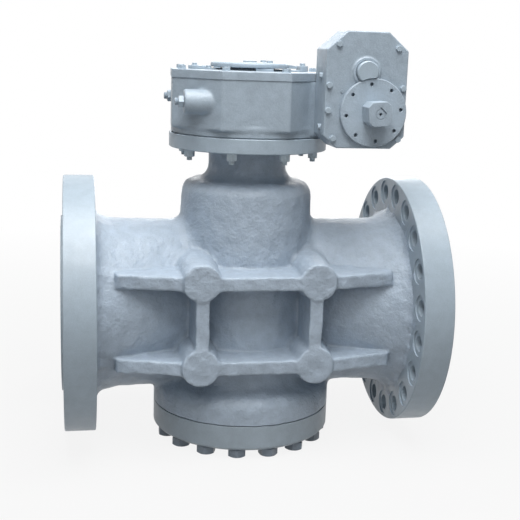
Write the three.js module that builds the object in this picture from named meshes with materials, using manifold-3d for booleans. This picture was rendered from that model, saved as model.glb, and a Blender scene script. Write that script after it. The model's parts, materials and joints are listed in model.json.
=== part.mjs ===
// Gear operated plug valve with flanged ends, NPS 16, class 600.
// Millimetres, +Z up, pipe along X. The operator's input shaft points to -Y.
// Heights are measured from the pipe axis; the finished group is raised to stand on Z = 0.

import * as THREE from "three";
import { mergeVertices } from "three/addons/utils/BufferGeometryUtils.js";
import Module from "manifold-3d";

const wasm = await Module();
wasm.setup();

// Running and seating clearances
const FIT = 0.3; // static seat between two pieces
const RUN = 0.35; // radial gap of a turning shaft
const PLUG_GAP = 0.35; // radial gap of the plug in its seat

// Facets
const ROUND = 28; // large turned surfaces
const MEDIUM = 20; // covers and discs
const PASSAGE_SIDES = 20; // flow passage
const SMALL = 12; // shafts and bushes
const FINE = 8; // small rods and holes
const THREAD_SIDES = 6; // bolts and studs in their holes
const NECK_SIDES = 24; // pipe necks
const RIM_SIDES = 36; // end flanges
const FLANGE_HOLE_SIDES = 6;
const ROUND_STEPS = 3; // facets of one turned fillet

// Cutting tools reach this far past the face they open.
const PAST = 1;

// End flanges
const FACE_TO_FACE = 990.6;
const FLANGE_OVERHANG = 114.9; // from the neck to the rim
const FLANGE_THICKNESS = 80.6;
const RAISED_FACE_WIDTH = 47.95; // from the bore to its edge
const RAISED_FACE_HEIGHT = 6.4;
const FLANGE_BOLT_EDGE = 41.3; // from the bolt circle to the rim
const FLANGE_BOLT_COUNT = 20;
const FLANGE_BOLT_HOLE = 41.3;
const RIM_CHAMFER = 3;

// Pipe necks and flow passage
const NECK_WALL = 41;
const NECK_FLARE_LENGTH = 62;
const NECK_FLARE_RISE = 19;
const WAIST_WALL = 45;
const WAIST_START = 125;
const WAIST_END_FROM_FLANGE = 93.3;
const BORE_RADIUS = 187;
const PORT_HALF_WIDTH = 95;
const PORT_HALF_HEIGHT = 165;
const PORT_CORNER = 40;
const PORT_LENGTH_FROM_AXIS = 185;
const BORE_LENGTH = 158.9;

// Barrel, dome and bonnet neck
const BARREL_WALL = 27;
const BARREL_TAPER = 0.04;
const SHOULDER_HEIGHT = 304;
const SHOULDER_ROUND = 34;
const BONNET_WALL = 32;
const BONNET_ROUND = 40;
const BONNET_RISE = 74; // from the shoulder to the top of the bonnet's fillet
const BONNET_NECK = 47;
const BONNET_FILLET = 6;
const TOP_FLANGE_RADIUS = 211;
const TOP_FLANGE_THICKNESS = 38;
const BASE_FLANGE_EDGE = 30;
const BASE_FLANGE_THICKNESS = 33;
const BASE_ROUND = 60;
const BASE_ROUND_LIFT = 12;
const BASE_ROUND_START = 250; // degrees round the fillet's centre
const SHOULDER_ROUND_END = 66;
const BONNET_ROUND_START = 245;

// Rib grid on both sides of the body
const PAD_RADIUS = 48;
const PAD_DRAFT = 0.06; // how much wider a pad gets with each millimetre towards its root
const PAD_FACE = 268;
const PAD_X = 149;
const PAD_Z = 110;
const RIB_FACE = 264;
const RIB_HEIGHT = 35;
const RIB_DROP = 4;
const POST_X = 146;
const POST_WIDTH = 34;
const RIB_SHOULDER_X = 188;
const RIB_SHOULDER_FACE = 258;
const RIB_END_FROM_FLANGE = 56.3;
const RIB_END_FACE = 203;
const RIB_ROOT = 100;

// Plug and its seat
const PLUG_RADIUS_AT_AXIS = 160;
const PLUG_TAPER = 1 / 12;
const PLUG_ROOF = 50;
const PLUG_FLOOR = 90;
const PLUG_FOOT_ROOM = 22;
const PLUG_BOSS_RADIUS = 60;
const PLUG_BOSS_HEIGHT = 4;
const SEAT_ROOM = 7;
const SLOT_WIDTH = 56;
const SLOT_END_GAP = 5;
const SLOT_DEPTH = 26;
const PORT_OVERRUN = 60;

// Bottom cover, gasket and bolts
const COVER_SEAM = 3;
const COVER_THICKNESS = 67;
const COVER_CHAMFER = 7;
const SPIGOT_HEIGHT = 8;
const SPIGOT_GAP = 1.5;
const GASKET_WIDTH = 10;
const GASKET_INSET = 1;
const COVER_BOLT_COUNT = 16;
const COVER_BOLT_OUTSET = 28; // from the barrel to the bolt circle
const COVER_BOLT_DIAMETER = 30;
const COVER_BOLT_HEAD_FLATS = 45;
const COVER_BOLT_HEAD_HEIGHT = 22.7;
const COVER_BOLT_GRIP = 34;
const ADJUSTER_RADIUS = 24;
const ADJUSTER_NUT_FLATS = 70;
const ADJUSTER_NUT_HEIGHT = 14;
const ADJUSTER_TAIL = 4;
const ADJUSTER_CHAMFER = 2;
const THRUST_PAD_RADIUS = 52;
const THRUST_PAD_THICKNESS = 12;
const PAD_POCKET_GAP = 4;
const PAD_POCKET_DEPTH = 6;

// Stem, bush, packing and gland
const STEM_RADIUS = 48;
const COLLAR_WIDTH = 32;
const COLLAR_LIFT = 13;
const CHAMBER_ROOM = 10;
const CHAMBER_BELOW_SHOULDER = 4;
const STEM_BUSH_WALL = 12;
const STEM_BUSH_HEIGHT = 60;
const PACKING_WIDTH = 24;
const PACKING_HEIGHT = 55;

// Studs between body and gear housing
const STUD_COUNT = 8;
const STUD_EDGE = 33; // from the stud circle to the top flange rim
const STUD_DIAMETER = 15;
const STUD_NUT_FLATS = 24;
const STUD_NUT_HEIGHT = 20;
const STUD_TAIL = 9;
const STUD_ENGAGEMENT = 22;

// Gear housing
const HOUSING_SIDES = 8;
const HOUSING_WALL = 14.9;
const HOUSING_TURN = -4.5; // degrees; the eight flats sit slightly round from square
const HOUSING_BASE_WALL = 13;
const HOUSING_BASE_THICKNESS = 17;
const HOUSING_TOP_MARGIN = 1;
const HOUSING_FLOOR_THICKNESS = 28.7;
const HOUSING_CAVITY_GAP = 4;
const HOUSING_COVER_THICKNESS = 22;
const SCALE_THICKNESS = 3;
const SCALE_OPEN_END = { x: -136, radius: 28, from: -120, height: 8.7 };
const SCALE_SHUT_END = { x: 132, radius: 26, from: 132, height: 15 };
const POINTER_RADIUS = 104;
const POINTER_THICKNESS = 13.8;
const POINTER_LIFT = 7.2;
const POINTER_NOSE_REACH = 24;
const POINTER_NOSE_HALF_WIDTH = 16;
const POINTER_NOSE_ROOT = 80;
const STEM_TOP_STEP = 8;
const STEM_HUB_RADIUS = 24;
const STEM_TIP_RADIUS = 18;
const STEM_TIP_RISE = 4;
const SECTOR_BUSH_WALL = 12;

// Sector gear and worm
const WORM_MODULE = 9;
const WHEEL_TEETH = 40;
const WORM_PITCH_RADIUS = 45;
const SECTOR_FLOOR_GAP = 19;
const WORM_TURNS = 3.3;
const WORM_STEPS = 14;
const WORM_BACKLASH = 1.8;
const WHEEL_FLANK_POINTS = 3;
const SECTOR_TEETH = 14;
const SECTOR_THICKNESS = 56;
const SECTOR_HUB_WALL = 27;
const SECTOR_HUB_DROP = 16.3;
const SECTOR_STOP_OFFSET = 62;
const KEY_WIDTH = 24;
const KEY_HEIGHT = 16;
const PRESSURE_ANGLE = THREE.MathUtils.degToRad(20);
const DEDENDUM = 1.25; // in modules; the addendum is one module
const THREAD_SINK = 2; // depth of the thread's foot in its core
const WORM_SHAFT_RADIUS = 26;
const WORM_BUSH_WALL = 9;
const WORM_BUSH_LENGTH = 24;
const WORM_CHAMBER_GAP = 3.5;
const WORM_CHAMBER_SIDE = 8.5;
const WORM_CHAMBER_WALL = 32;
const WORM_END_CAP_THICKNESS = 12;
const WORM_END_CAP_INSET = 6;
const CAP_CHAMFER = 2;

// Travel stops
const STOP_INSET = 30; // from the pitch circle to the stop screws
const STOP_RISE = 11;
const STOP_SCREW_RADIUS = 10;
const STOP_BOSS_RADIUS = 31;
const STOP_BOSS_INSET = 2;
const STOP_SCREW_TAIL = 22;
const STOP_NUT_FLATS = 28;
const STOP_NUT_THICKNESS = 13;

// Spur reduction
const SPUR_MODULE = 5;
const GEAR_TEETH = 26;
const PINION_TEETH = 14;
const SPUR_BACKLASH = 0.9;
const SPUR_FLANK_POINTS = 2;
const INPUT_OFFSET_X = 39;
const CASE_WIDTH = 207;
const CASE_ABOVE_LAY = 96.9;
const CASE_BELOW_WORM = 89;
const CASE_OFFSET_X = 21.5;
const CASE_DEPTH = 89.7;
const CASE_HOUSING_GAP = 3.6;
const CASE_WALL = 8;
const CASE_REAR_WALL = 10;
const CASE_TOP_CHAMFER_X = 52;
const CASE_TOP_CHAMFER_Z = 45;
const CASE_BOTTOM_CHAMFER_X = 34;
const CASE_BOTTOM_CHAMFER_Z = 30;
const CASE_CHAMFER_TRIM = 0.6; // how much a cut corner shrinks with each millimetre of wall
const CASE_COVER_THICKNESS = 14;
const OUTPUT_GEAR_FACE = 26;
const LAY_GEAR_FACE = 24;
const GEAR_END_GAP = 4;
const GEAR_PLANE_GAP = 10;
const INPUT_FLANGE_RADIUS = 84;
const INPUT_FLANGE_THICKNESS = 14;
const INPUT_FLANGE_CHAMFER = 1.5;
const INPUT_FLANGE_PCD = 139;
const INPUT_FLANGE_HOLES = 8;
const INPUT_FLANGE_HOLE_TURN = 7; // degrees the first hole stands above level
const INPUT_FLANGE_HOLE = 9;
const INPUT_HUB_RADIUS = 33;
const INPUT_SHAFT_RADIUS = 22;
const INPUT_SQUARE = 58;
const INPUT_SQUARE_CHAMFER = 11;
const INPUT_SQUARE_TURN = 5; // degrees
const INPUT_SQUARE_LENGTH = 58;
const CENTRE_MARK_RADIUS = 4;
const CENTRE_MARK_DEPTH = 10;
const LAY_SHAFT_RADIUS = 16;
const LAY_CAP_RADIUS = 27;
const LAY_CAP_LENGTH = 18;
const LAY_BUSH_WALL = 6;
const LAY_BOSS_WALL = 8;
const LAY_BORE_FLOOR = 2;
const WORM_PASS_GAP = 1;

// Values that follow from the sizes above
const FLANGE_FRONT = FACE_TO_FACE / 2 - RAISED_FACE_HEIGHT;
const FLANGE_BACK = FLANGE_FRONT - FLANGE_THICKNESS;
const NECK_RADIUS = BORE_RADIUS + NECK_WALL;
const FLANGE_RADIUS = NECK_RADIUS + FLANGE_OVERHANG;
const FLANGE_BOLT_CIRCLE = 2 * (FLANGE_RADIUS - FLANGE_BOLT_EDGE);
const RAISED_FACE_RADIUS = BORE_RADIUS + RAISED_FACE_WIDTH;
const WAIST_HALF_WIDTH = PORT_HALF_WIDTH + WAIST_WALL;
const WAIST_END = FLANGE_BACK - WAIST_END_FROM_FLANGE;
const BORE_START_FROM_AXIS = FLANGE_FRONT - BORE_LENGTH;
const RIB_END_X = FLANGE_BACK - RIB_END_FROM_FLANGE;
const PLUG_TOP = PORT_HALF_HEIGHT + PLUG_ROOF;
const PLUG_BOTTOM = PORT_HALF_HEIGHT + PLUG_FLOOR;
const SEAT_TOP = PLUG_TOP + SEAT_ROOM;
const BARREL_RADIUS = PLUG_RADIUS_AT_AXIS + BARREL_WALL;
const COVER_BOLT_CIRCLE = 2 * (BARREL_RADIUS + COVER_BOLT_OUTSET);
const BASE_FLANGE_RADIUS = COVER_BOLT_CIRCLE / 2 + BASE_FLANGE_EDGE;
const BASE_FLANGE_DEPTH = PLUG_BOTTOM + PLUG_FOOT_ROOM;
const BONNET_ROUND_HEIGHT = SHOULDER_HEIGHT + BONNET_RISE;
const TOP_FLANGE_HEIGHT = BONNET_ROUND_HEIGHT + BONNET_NECK + TOP_FLANGE_THICKNESS;
const COLLAR_RADIUS = STEM_RADIUS + COLLAR_WIDTH;
const COLLAR_BOTTOM = PLUG_TOP + COLLAR_LIFT;
const SLOT_LENGTH = 2 * (COLLAR_RADIUS - SLOT_END_GAP);
const CHAMBER_RADIUS = COLLAR_RADIUS + CHAMBER_ROOM;
const CHAMBER_TOP = SHOULDER_HEIGHT - CHAMBER_BELOW_SHOULDER;
const STEM_BUSH_RADIUS = STEM_RADIUS + STEM_BUSH_WALL;
const STEM_BUSH_TOP = CHAMBER_TOP + STEM_BUSH_HEIGHT;
const PACKING_RADIUS = STEM_RADIUS + PACKING_WIDTH;
const PACKING_TOP = STEM_BUSH_TOP + PACKING_HEIGHT;
const BONNET_RADIUS = PACKING_RADIUS + BONNET_WALL;
const STUD_CIRCLE = 2 * (TOP_FLANGE_RADIUS - STUD_EDGE);
const COVER_TOP = -(BASE_FLANGE_DEPTH + COVER_SEAM);
const COVER_BOTTOM = COVER_TOP - COVER_THICKNESS;
const UNDERSIDE = COVER_BOTTOM - FIT - COVER_BOLT_HEAD_HEIGHT;
const WHEEL_PITCH_RADIUS = (WORM_MODULE * WHEEL_TEETH) / 2;
const WORM_X = WHEEL_PITCH_RADIUS + WORM_PITCH_RADIUS;
const WORM_LEAD = Math.PI * WORM_MODULE;
const WORM_CHAMBER_RADIUS = WORM_PITCH_RADIUS + WORM_MODULE + WORM_CHAMBER_GAP;
const WORM_CHAMBER_OUTER = WORM_CHAMBER_RADIUS + WORM_CHAMBER_SIDE;
const HOUSING_CAVITY_RADIUS = WHEEL_PITCH_RADIUS + WORM_MODULE + HOUSING_CAVITY_GAP;
const HOUSING_APOTHEM = HOUSING_CAVITY_RADIUS + HOUSING_WALL;
const HOUSING_CORNER_RADIUS = HOUSING_APOTHEM / Math.cos(Math.PI / HOUSING_SIDES);
const HOUSING_BASE_RADIUS = HOUSING_CAVITY_RADIUS + HOUSING_BASE_WALL;
const HOUSING_BOTTOM = TOP_FLANGE_HEIGHT + FIT;
const HOUSING_FLOOR = HOUSING_BOTTOM + HOUSING_FLOOR_THICKNESS;
const WORM_HEIGHT = HOUSING_FLOOR + SECTOR_FLOOR_GAP + SECTOR_THICKNESS / 2;
const HOUSING_TOP = WORM_HEIGHT + WORM_CHAMBER_OUTER + HOUSING_TOP_MARGIN;
const HOUSING_COVER_BOTTOM = HOUSING_TOP + FIT;
const HOUSING_COVER_TOP = HOUSING_COVER_BOTTOM + HOUSING_COVER_THICKNESS;
const POINTER_BOTTOM = HOUSING_COVER_TOP + POINTER_LIFT;
const POINTER_TOP = POINTER_BOTTOM + POINTER_THICKNESS;
const STEM_TOP_JOURNAL = STEM_RADIUS - STEM_TOP_STEP;
const SECTOR_HUB_RADIUS = STEM_RADIUS + SECTOR_HUB_WALL;
const SECTOR_HUB_TOP = HOUSING_COVER_BOTTOM - SECTOR_HUB_DROP;
const STOP_Y = WHEEL_PITCH_RADIUS - STOP_INSET;
const STOP_HEIGHT = WORM_HEIGHT + STOP_RISE;
const STOP_BOSS_END_X = STOP_BOSS_INSET - HOUSING_CAVITY_RADIUS;
const STOP_SCREW_END_X = STOP_BOSS_END_X - STOP_SCREW_TAIL;
const SPUR_CENTRES = (SPUR_MODULE * (GEAR_TEETH + PINION_TEETH)) / 2;
const INPUT_X = WORM_X + INPUT_OFFSET_X;
const LAY_X = WORM_X + INPUT_OFFSET_X / 2;
const LAY_RISE = Math.sqrt(SPUR_CENTRES ** 2 - (INPUT_OFFSET_X / 2) ** 2);
const LAY_Z = WORM_HEIGHT + LAY_RISE;
const CASE_CENTRE_X = WORM_X + CASE_OFFSET_X;
const CASE_LEFT = CASE_CENTRE_X - CASE_WIDTH / 2;
const CASE_TOP = LAY_Z + CASE_ABOVE_LAY;
const CASE_BOTTOM = WORM_HEIGHT - CASE_BELOW_WORM;

// The reduction case starts where its inner corner clears the octagon's slanting flat.
const FLAT_ANGLE = THREE.MathUtils.degToRad(45 - HOUSING_TURN);
const FLAT_REACH = HOUSING_APOTHEM + CASE_HOUSING_GAP - CASE_LEFT * Math.cos(FLAT_ANGLE);
const WORM_END = FLAT_REACH / Math.sin(FLAT_ANGLE);
const WORM_CHAMBER_HALF_LENGTH = WORM_END - WORM_CHAMBER_WALL;
const CASE_REAR = WORM_END + FIT;
const CASE_FACE = CASE_REAR + CASE_DEPTH;
const CASE_COVER_BACK = CASE_FACE + FIT;
const CASE_COVER_FACE = CASE_COVER_BACK + CASE_COVER_THICKNESS;
const OUTPUT_GEAR_BACK = CASE_REAR + CASE_REAR_WALL + GEAR_END_GAP;
const OUTPUT_GEAR_FRONT = OUTPUT_GEAR_BACK + OUTPUT_GEAR_FACE;
const LAY_GEAR_BACK = OUTPUT_GEAR_FRONT + GEAR_PLANE_GAP;
const LAY_GEAR_FRONT = LAY_GEAR_BACK + LAY_GEAR_FACE;
const COLLAR_TOP = CHAMBER_TOP - 2 * FIT;
const STEM_JOURNAL_START = SECTOR_HUB_TOP + FIT;
const PLUG_FOOT = -PLUG_BOTTOM - PLUG_BOSS_HEIGHT;
const THRUST_PAD_TOP = PLUG_FOOT - FIT;
const ADJUSTER_TOP = THRUST_PAD_TOP - THRUST_PAD_THICKNESS - FIT;
const ADJUSTER_NUT_BOTTOM = COVER_BOTTOM - FIT - ADJUSTER_NUT_HEIGHT;
const WORM_BUSH_OUTER = WORM_SHAFT_RADIUS + WORM_BUSH_WALL;
const LAY_BUSH_OUTER = LAY_SHAFT_RADIUS + LAY_BUSH_WALL;
const INPUT_FLANGE_BACK = CASE_COVER_FACE + FIT;
const INPUT_FLANGE_FACE = INPUT_FLANGE_BACK + INPUT_FLANGE_THICKNESS;
const INPUT_END = INPUT_FLANGE_FACE + INPUT_SQUARE_LENGTH;
const INPUT_HUB_END = LAY_GEAR_FRONT + GEAR_END_GAP;

// Directions between the three gear centres, for setting the teeth in mesh.
const TO_LAY_FROM_WORM = Math.atan2(LAY_RISE, INPUT_OFFSET_X / 2);
const TO_LAY_FROM_INPUT = Math.atan2(LAY_RISE, -INPUT_OFFSET_X / 2);

// The axes that turned pieces of the operator lie on.
const ON_WORM_AXIS = { axis: "y", x: WORM_X, z: WORM_HEIGHT };
const ON_LAY_AXIS = { axis: "y", x: LAY_X, z: LAY_Z };
const ON_INPUT_AXIS = { axis: "y", x: INPUT_X, z: WORM_HEIGHT };
const onStopAxis = (side) => ({ axis: "x", y: side * STOP_Y, z: STOP_HEIGHT });

// Materials
const material = (color, roughness, metalness) => () =>
  new THREE.MeshStandardMaterial({ color, roughness, metalness });
const paint = material(0x93a3ae, 0.5, 0.1);
const steel = material(0xa9adb0, 0.35, 0.9);
const darkSteel = material(0x5a5e61, 0.5, 0.7);
const bronze = material(0xa5793f, 0.4, 0.8);
const graphite = material(0x2d2f31, 0.8, 0.1);

// Geometry helpers

// A closed three.js geometry as a solid with its faces pointing out.
function solid(geometry) {
  const bare = geometry.clone();
  bare.deleteAttribute("normal");
  bare.deleteAttribute("uv");
  const merged = mergeVertices(bare, 1e-4);
  const corners = merged.index.array;
  const kept = [];
  for (let i = 0; i < corners.length; i += 3) {
    const [a, b, c] = [corners[i], corners[i + 1], corners[i + 2]];
    if (a !== b && b !== c && c !== a) kept.push(a, b, c);
  }
  const vertProperties = new Float32Array(merged.attributes.position.array);
  const made = new wasm.Manifold(
    new wasm.Mesh({ numProp: 3, vertProperties, triVerts: new Uint32Array(kept) }),
  );
  if (made.volume() >= 0) return made;
  const turned = new Uint32Array(kept.length);
  for (let i = 0; i < kept.length; i += 3) turned.set([kept[i], kept[i + 2], kept[i + 1]], i);
  return new wasm.Manifold(new wasm.Mesh({ numProp: 3, vertProperties, triVerts: turned }));
}

const join = (...pieces) => pieces.reduce((whole, piece) => whole.add(piece));
const cut = (whole, ...tools) => tools.reduce((rest, tool) => rest.subtract(tool), whole);

// A matrix that lays a shape built along Z along another axis and moves it to a place.
function placed(axis, x, y, z) {
  const matrix = new THREE.Matrix4();
  if (axis === "x") matrix.makeRotationY(Math.PI / 2);
  if (axis === "y") matrix.makeRotationX(-Math.PI / 2);
  return matrix.setPosition(x, y, z);
}

// A profile of [radius, height] pairs turned about Z, then laid along an axis.
function turned(profile, { sides = ROUND, axis = "z", x = 0, y = 0, z = 0 } = {}) {
  const points = profile.map(([radius, height]) => new THREE.Vector2(radius, height));
  const lathe = new THREE.LatheGeometry(points, sides).rotateX(Math.PI / 2);
  return solid(lathe.applyMatrix4(placed(axis, x, y, z)));
}

function rod(radius, from, to, options = {}) {
  const profile = [[0, from], [radius, from], [radius, to], [0, to]];
  return turned(profile, { sides: SMALL, ...options });
}

// A rod that cuts: it reaches past both of its ends.
function hole(radius, from, to, options = {}) {
  return rod(radius, Math.min(from, to) - PAST, Math.max(from, to) + PAST, options);
}

function ring(inner, outer, from, to, options = {}) {
  const profile = [[inner, from], [outer, from], [outer, to], [inner, to], [inner, from]];
  return turned(profile, { sides: SMALL, ...options });
}

// The corner radius of a faceted bore that leaves the given gap all round a turning shaft.
const boreFor = (radius, gap, sides = SMALL) => (radius + gap) / Math.cos(Math.PI / sides);

// The same for a shaft that stays in line with the facets of its hole.
const seatFor = (radius, sides = SMALL) => radius + FIT / Math.cos(Math.PI / sides);

// A hole with room for a threaded shank.
const threadHole = (radius, from, to, x, y) =>
  hole(seatFor(radius, THREAD_SIDES), from, to, { sides: THREAD_SIDES, x, y });

// Matrices that lay an extrusion along X or Y.
const ALONG_X = new THREE.Matrix4().set(0, 0, 1, 0, 1, 0, 0, 0, 0, 1, 0, 0, 0, 0, 0, 1);
const ALONG_Y = new THREE.Matrix4().set(1, 0, 0, 0, 0, 0, 1, 0, 0, 1, 0, 0, 0, 0, 0, 1);

// An outline of [u, v] pairs in the plane across an axis, drawn out along that axis.
function prism(outline, from, to, axis = "z") {
  const shape = new THREE.Shape(outline.map(([u, v]) => new THREE.Vector2(u, v)));
  const geometry = new THREE.ExtrudeGeometry(shape, { depth: to - from, bevelEnabled: false });
  geometry.translate(0, 0, from);
  if (axis === "x") geometry.applyMatrix4(ALONG_X);
  if (axis === "y") geometry.applyMatrix4(ALONG_Y);
  return solid(geometry);
}

function block(x0, x1, y0, y1, z0, z1) {
  const box = new THREE.BoxGeometry(x1 - x0, y1 - y0, z1 - z0);
  return solid(box.translate((x0 + x1) / 2, (y0 + y1) / 2, (z0 + z1) / 2));
}

// Corner points of a regular polygon with one corner or flat turned by the given angle.
function polygon(sides, cornerRadius, turn = 0) {
  return Array.from({ length: sides }, (_, k) => {
    const angle = turn + (2 * Math.PI * (k + 0.5)) / sides;
    return [cornerRadius * Math.cos(angle), cornerRadius * Math.sin(angle)];
  });
}

const hexagon = (flats) => polygon(6, flats / 2 / Math.cos(Math.PI / 6));
const shifted = (outline, u, v) => outline.map(([a, b]) => [a + u, b + v]);

// Points on an arc, angles in degrees.
function arc(centreU, centreV, radius, start, end, steps) {
  return Array.from({ length: steps + 1 }, (_, i) => {
    const angle = THREE.MathUtils.degToRad(start + ((end - start) * i) / steps);
    return [centreU + radius * Math.cos(angle), centreV + radius * Math.sin(angle)];
  });
}

// A closed skin over rings of equal length, with flat ends.
function loft(rings) {
  const count = rings[0].length;
  const positions = rings.flat().flatMap((point) => [point.x, point.y, point.z]);
  const index = [];
  for (let i = 0; i + 1 < rings.length; i++)
    for (let j = 0; j < count; j++) {
      const a = i * count + j;
      const b = i * count + ((j + 1) % count);
      index.push(a, b, b + count, a, b + count, a + count);
    }
  const last = (rings.length - 1) * count;
  for (let j = 1; j + 1 < count; j++) index.push(0, j + 1, j, last, last + j, last + j + 1);
  const geometry = new THREE.BufferGeometry();
  geometry.setAttribute("position", new THREE.Float32BufferAttribute(positions, 3));
  geometry.setIndex(index);
  return solid(geometry);
}

const around = (count, circle, make, offset = 0.5) =>
  Array.from({ length: count }, (_, k) => {
    const angle = (2 * Math.PI * (k + offset)) / count;
    return make((circle / 2) * Math.cos(angle), (circle / 2) * Math.sin(angle), k);
  });

const mirrorPair = (make) => [make(-1), make(1)];
const smooth = (t) => t * t * (3 - 2 * t);
const clamp01 = (t) => Math.min(Math.max(t, 0), 1);

// A named mesh from a finished solid.
function piece(name, made, material) {
  const { vertProperties, triVerts, numProp } = made.getMesh();
  const geometry = new THREE.BufferGeometry();
  geometry.setAttribute("position", new THREE.Float32BufferAttribute(vertProperties, numProp));
  geometry.setIndex(new THREE.Uint32BufferAttribute(triVerts, 1));
  const flat = geometry.toNonIndexed();
  flat.computeVertexNormals();
  const mesh = new THREE.Mesh(flat, material);
  mesh.name = name;
  return mesh;
}

// Valve body

// Outer section of the neck at a distance from the stem axis: an upright ellipse that opens
// into a circle towards the end flange.
function neckSection(x) {
  const far = Math.abs(x);
  const open = smooth(clamp01((far - WAIST_START) / (WAIST_END - WAIST_START)));
  const flare = clamp01((far - (FLANGE_BACK - NECK_FLARE_LENGTH)) / NECK_FLARE_LENGTH);
  const height = NECK_RADIUS + NECK_FLARE_RISE * flare ** 2;
  const width = WAIST_HALF_WIDTH + (height - WAIST_HALF_WIDTH) * open;
  return Array.from({ length: NECK_SIDES }, (_, k) => {
    const angle = (2 * Math.PI * k) / NECK_SIDES;
    return new THREE.Vector3(x, width * Math.cos(angle), height * Math.sin(angle));
  });
}

function neckLoft() {
  const flareStart = FLANGE_BACK - NECK_FLARE_LENGTH;
  const narrow = [0, 0.3, 0.6, 1].map((t) => WAIST_START + t * (WAIST_END - WAIST_START));
  const flare = [0, 0.5, 1].map((t) => flareStart + t * (FLANGE_BACK + PAST - flareStart));
  const half = [...narrow, ...flare];
  const stations = [...half.map((x) => -x).reverse(), ...half];
  return loft(stations.map(neckSection));
}

// A passage section: a rectangle with round corners, a circle where the corners fill it.
function passageSection(x, halfWidth, halfHeight, corner) {
  const steps = PASSAGE_SIDES / 4 - 1;
  const quarters = [[1, 1, 0], [-1, 1, 90], [-1, -1, 180], [1, -1, 270]];
  return quarters.flatMap(([sideY, sideZ, start]) =>
    arc(sideY * (halfWidth - corner), sideZ * (halfHeight - corner), corner, start, start + 90, steps)
      .map(([y, z]) => new THREE.Vector3(x, y, z)),
  );
}

// The flow passage from the stem axis to one end face: port, taper and round bore.
function passage(side) {
  const sections = [
    passageSection(0, PORT_HALF_WIDTH, PORT_HALF_HEIGHT, PORT_CORNER),
    passageSection(side * PORT_LENGTH_FROM_AXIS, PORT_HALF_WIDTH, PORT_HALF_HEIGHT, PORT_CORNER),
  ];
  const taperSteps = 3;
  for (let i = 1; i <= taperSteps; i++) {
    const t = i / taperSteps;
    const mix = (from, to) => from + (to - from) * smooth(t);
    const x = PORT_LENGTH_FROM_AXIS + (BORE_START_FROM_AXIS - PORT_LENGTH_FROM_AXIS) * t;
    const width = mix(PORT_HALF_WIDTH, BORE_RADIUS);
    const height = mix(PORT_HALF_HEIGHT, BORE_RADIUS);
    sections.push(passageSection(side * x, width, height, mix(PORT_CORNER, BORE_RADIUS - 1)));
  }
  const end = side * (FACE_TO_FACE / 2 + PAST);
  sections.push(passageSection(end, BORE_RADIUS, BORE_RADIUS, BORE_RADIUS - 1));
  return loft(sections);
}

const fillet = (u, v, radius, start, end) => arc(u, v, radius, start, end, ROUND_STEPS);

function barrel() {
  const radiusAt = (height) => BARREL_RADIUS - BARREL_TAPER * height;
  const flangeBottom = -BASE_FLANGE_DEPTH;
  const flangeTop = flangeBottom + BASE_FLANGE_THICKNESS;
  const rootHeight = flangeTop + BASE_ROUND + BASE_ROUND_LIFT;
  const rootRadius = radiusAt(rootHeight);
  const topFlangeUnder = TOP_FLANGE_HEIGHT - TOP_FLANGE_THICKNESS;
  const shoulderRadius = radiusAt(SHOULDER_HEIGHT);
  return turned([
    [0, flangeBottom],
    [BASE_FLANGE_RADIUS, flangeBottom],
    [BASE_FLANGE_RADIUS, flangeTop],
    ...fillet(rootRadius + BASE_ROUND, rootHeight, BASE_ROUND, BASE_ROUND_START, 180),
    ...fillet(shoulderRadius - SHOULDER_ROUND, SHOULDER_HEIGHT, SHOULDER_ROUND, 0, SHOULDER_ROUND_END),
    ...fillet(BONNET_RADIUS + BONNET_ROUND, BONNET_ROUND_HEIGHT, BONNET_ROUND, BONNET_ROUND_START, 180),
    [BONNET_RADIUS, topFlangeUnder - BONNET_FILLET],
    [BONNET_RADIUS + BONNET_FILLET, topFlangeUnder],
    [TOP_FLANGE_RADIUS, topFlangeUnder],
    [TOP_FLANGE_RADIUS, TOP_FLANGE_HEIGHT],
    [0, TOP_FLANGE_HEIGHT],
  ]);
}

function endFlange(side) {
  const disc = turned([
    [0, FLANGE_BACK],
    [FLANGE_RADIUS, FLANGE_BACK],
    [FLANGE_RADIUS, FLANGE_FRONT - RIM_CHAMFER],
    [FLANGE_RADIUS - RIM_CHAMFER, FLANGE_FRONT],
    [RAISED_FACE_RADIUS, FLANGE_FRONT],
    [RAISED_FACE_RADIUS, FACE_TO_FACE / 2],
    [0, FACE_TO_FACE / 2],
  ].map(([radius, far]) => [radius, side * far]), { sides: RIM_SIDES, axis: "x" });
  const holes = around(FLANGE_BOLT_COUNT, FLANGE_BOLT_CIRCLE, (y, z) =>
    hole(FLANGE_BOLT_HOLE / 2, side * FLANGE_BACK, side * FLANGE_FRONT,
      { sides: FLANGE_HOLE_SIDES, axis: "x", y, z }));
  return { disc, holes };
}

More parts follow.
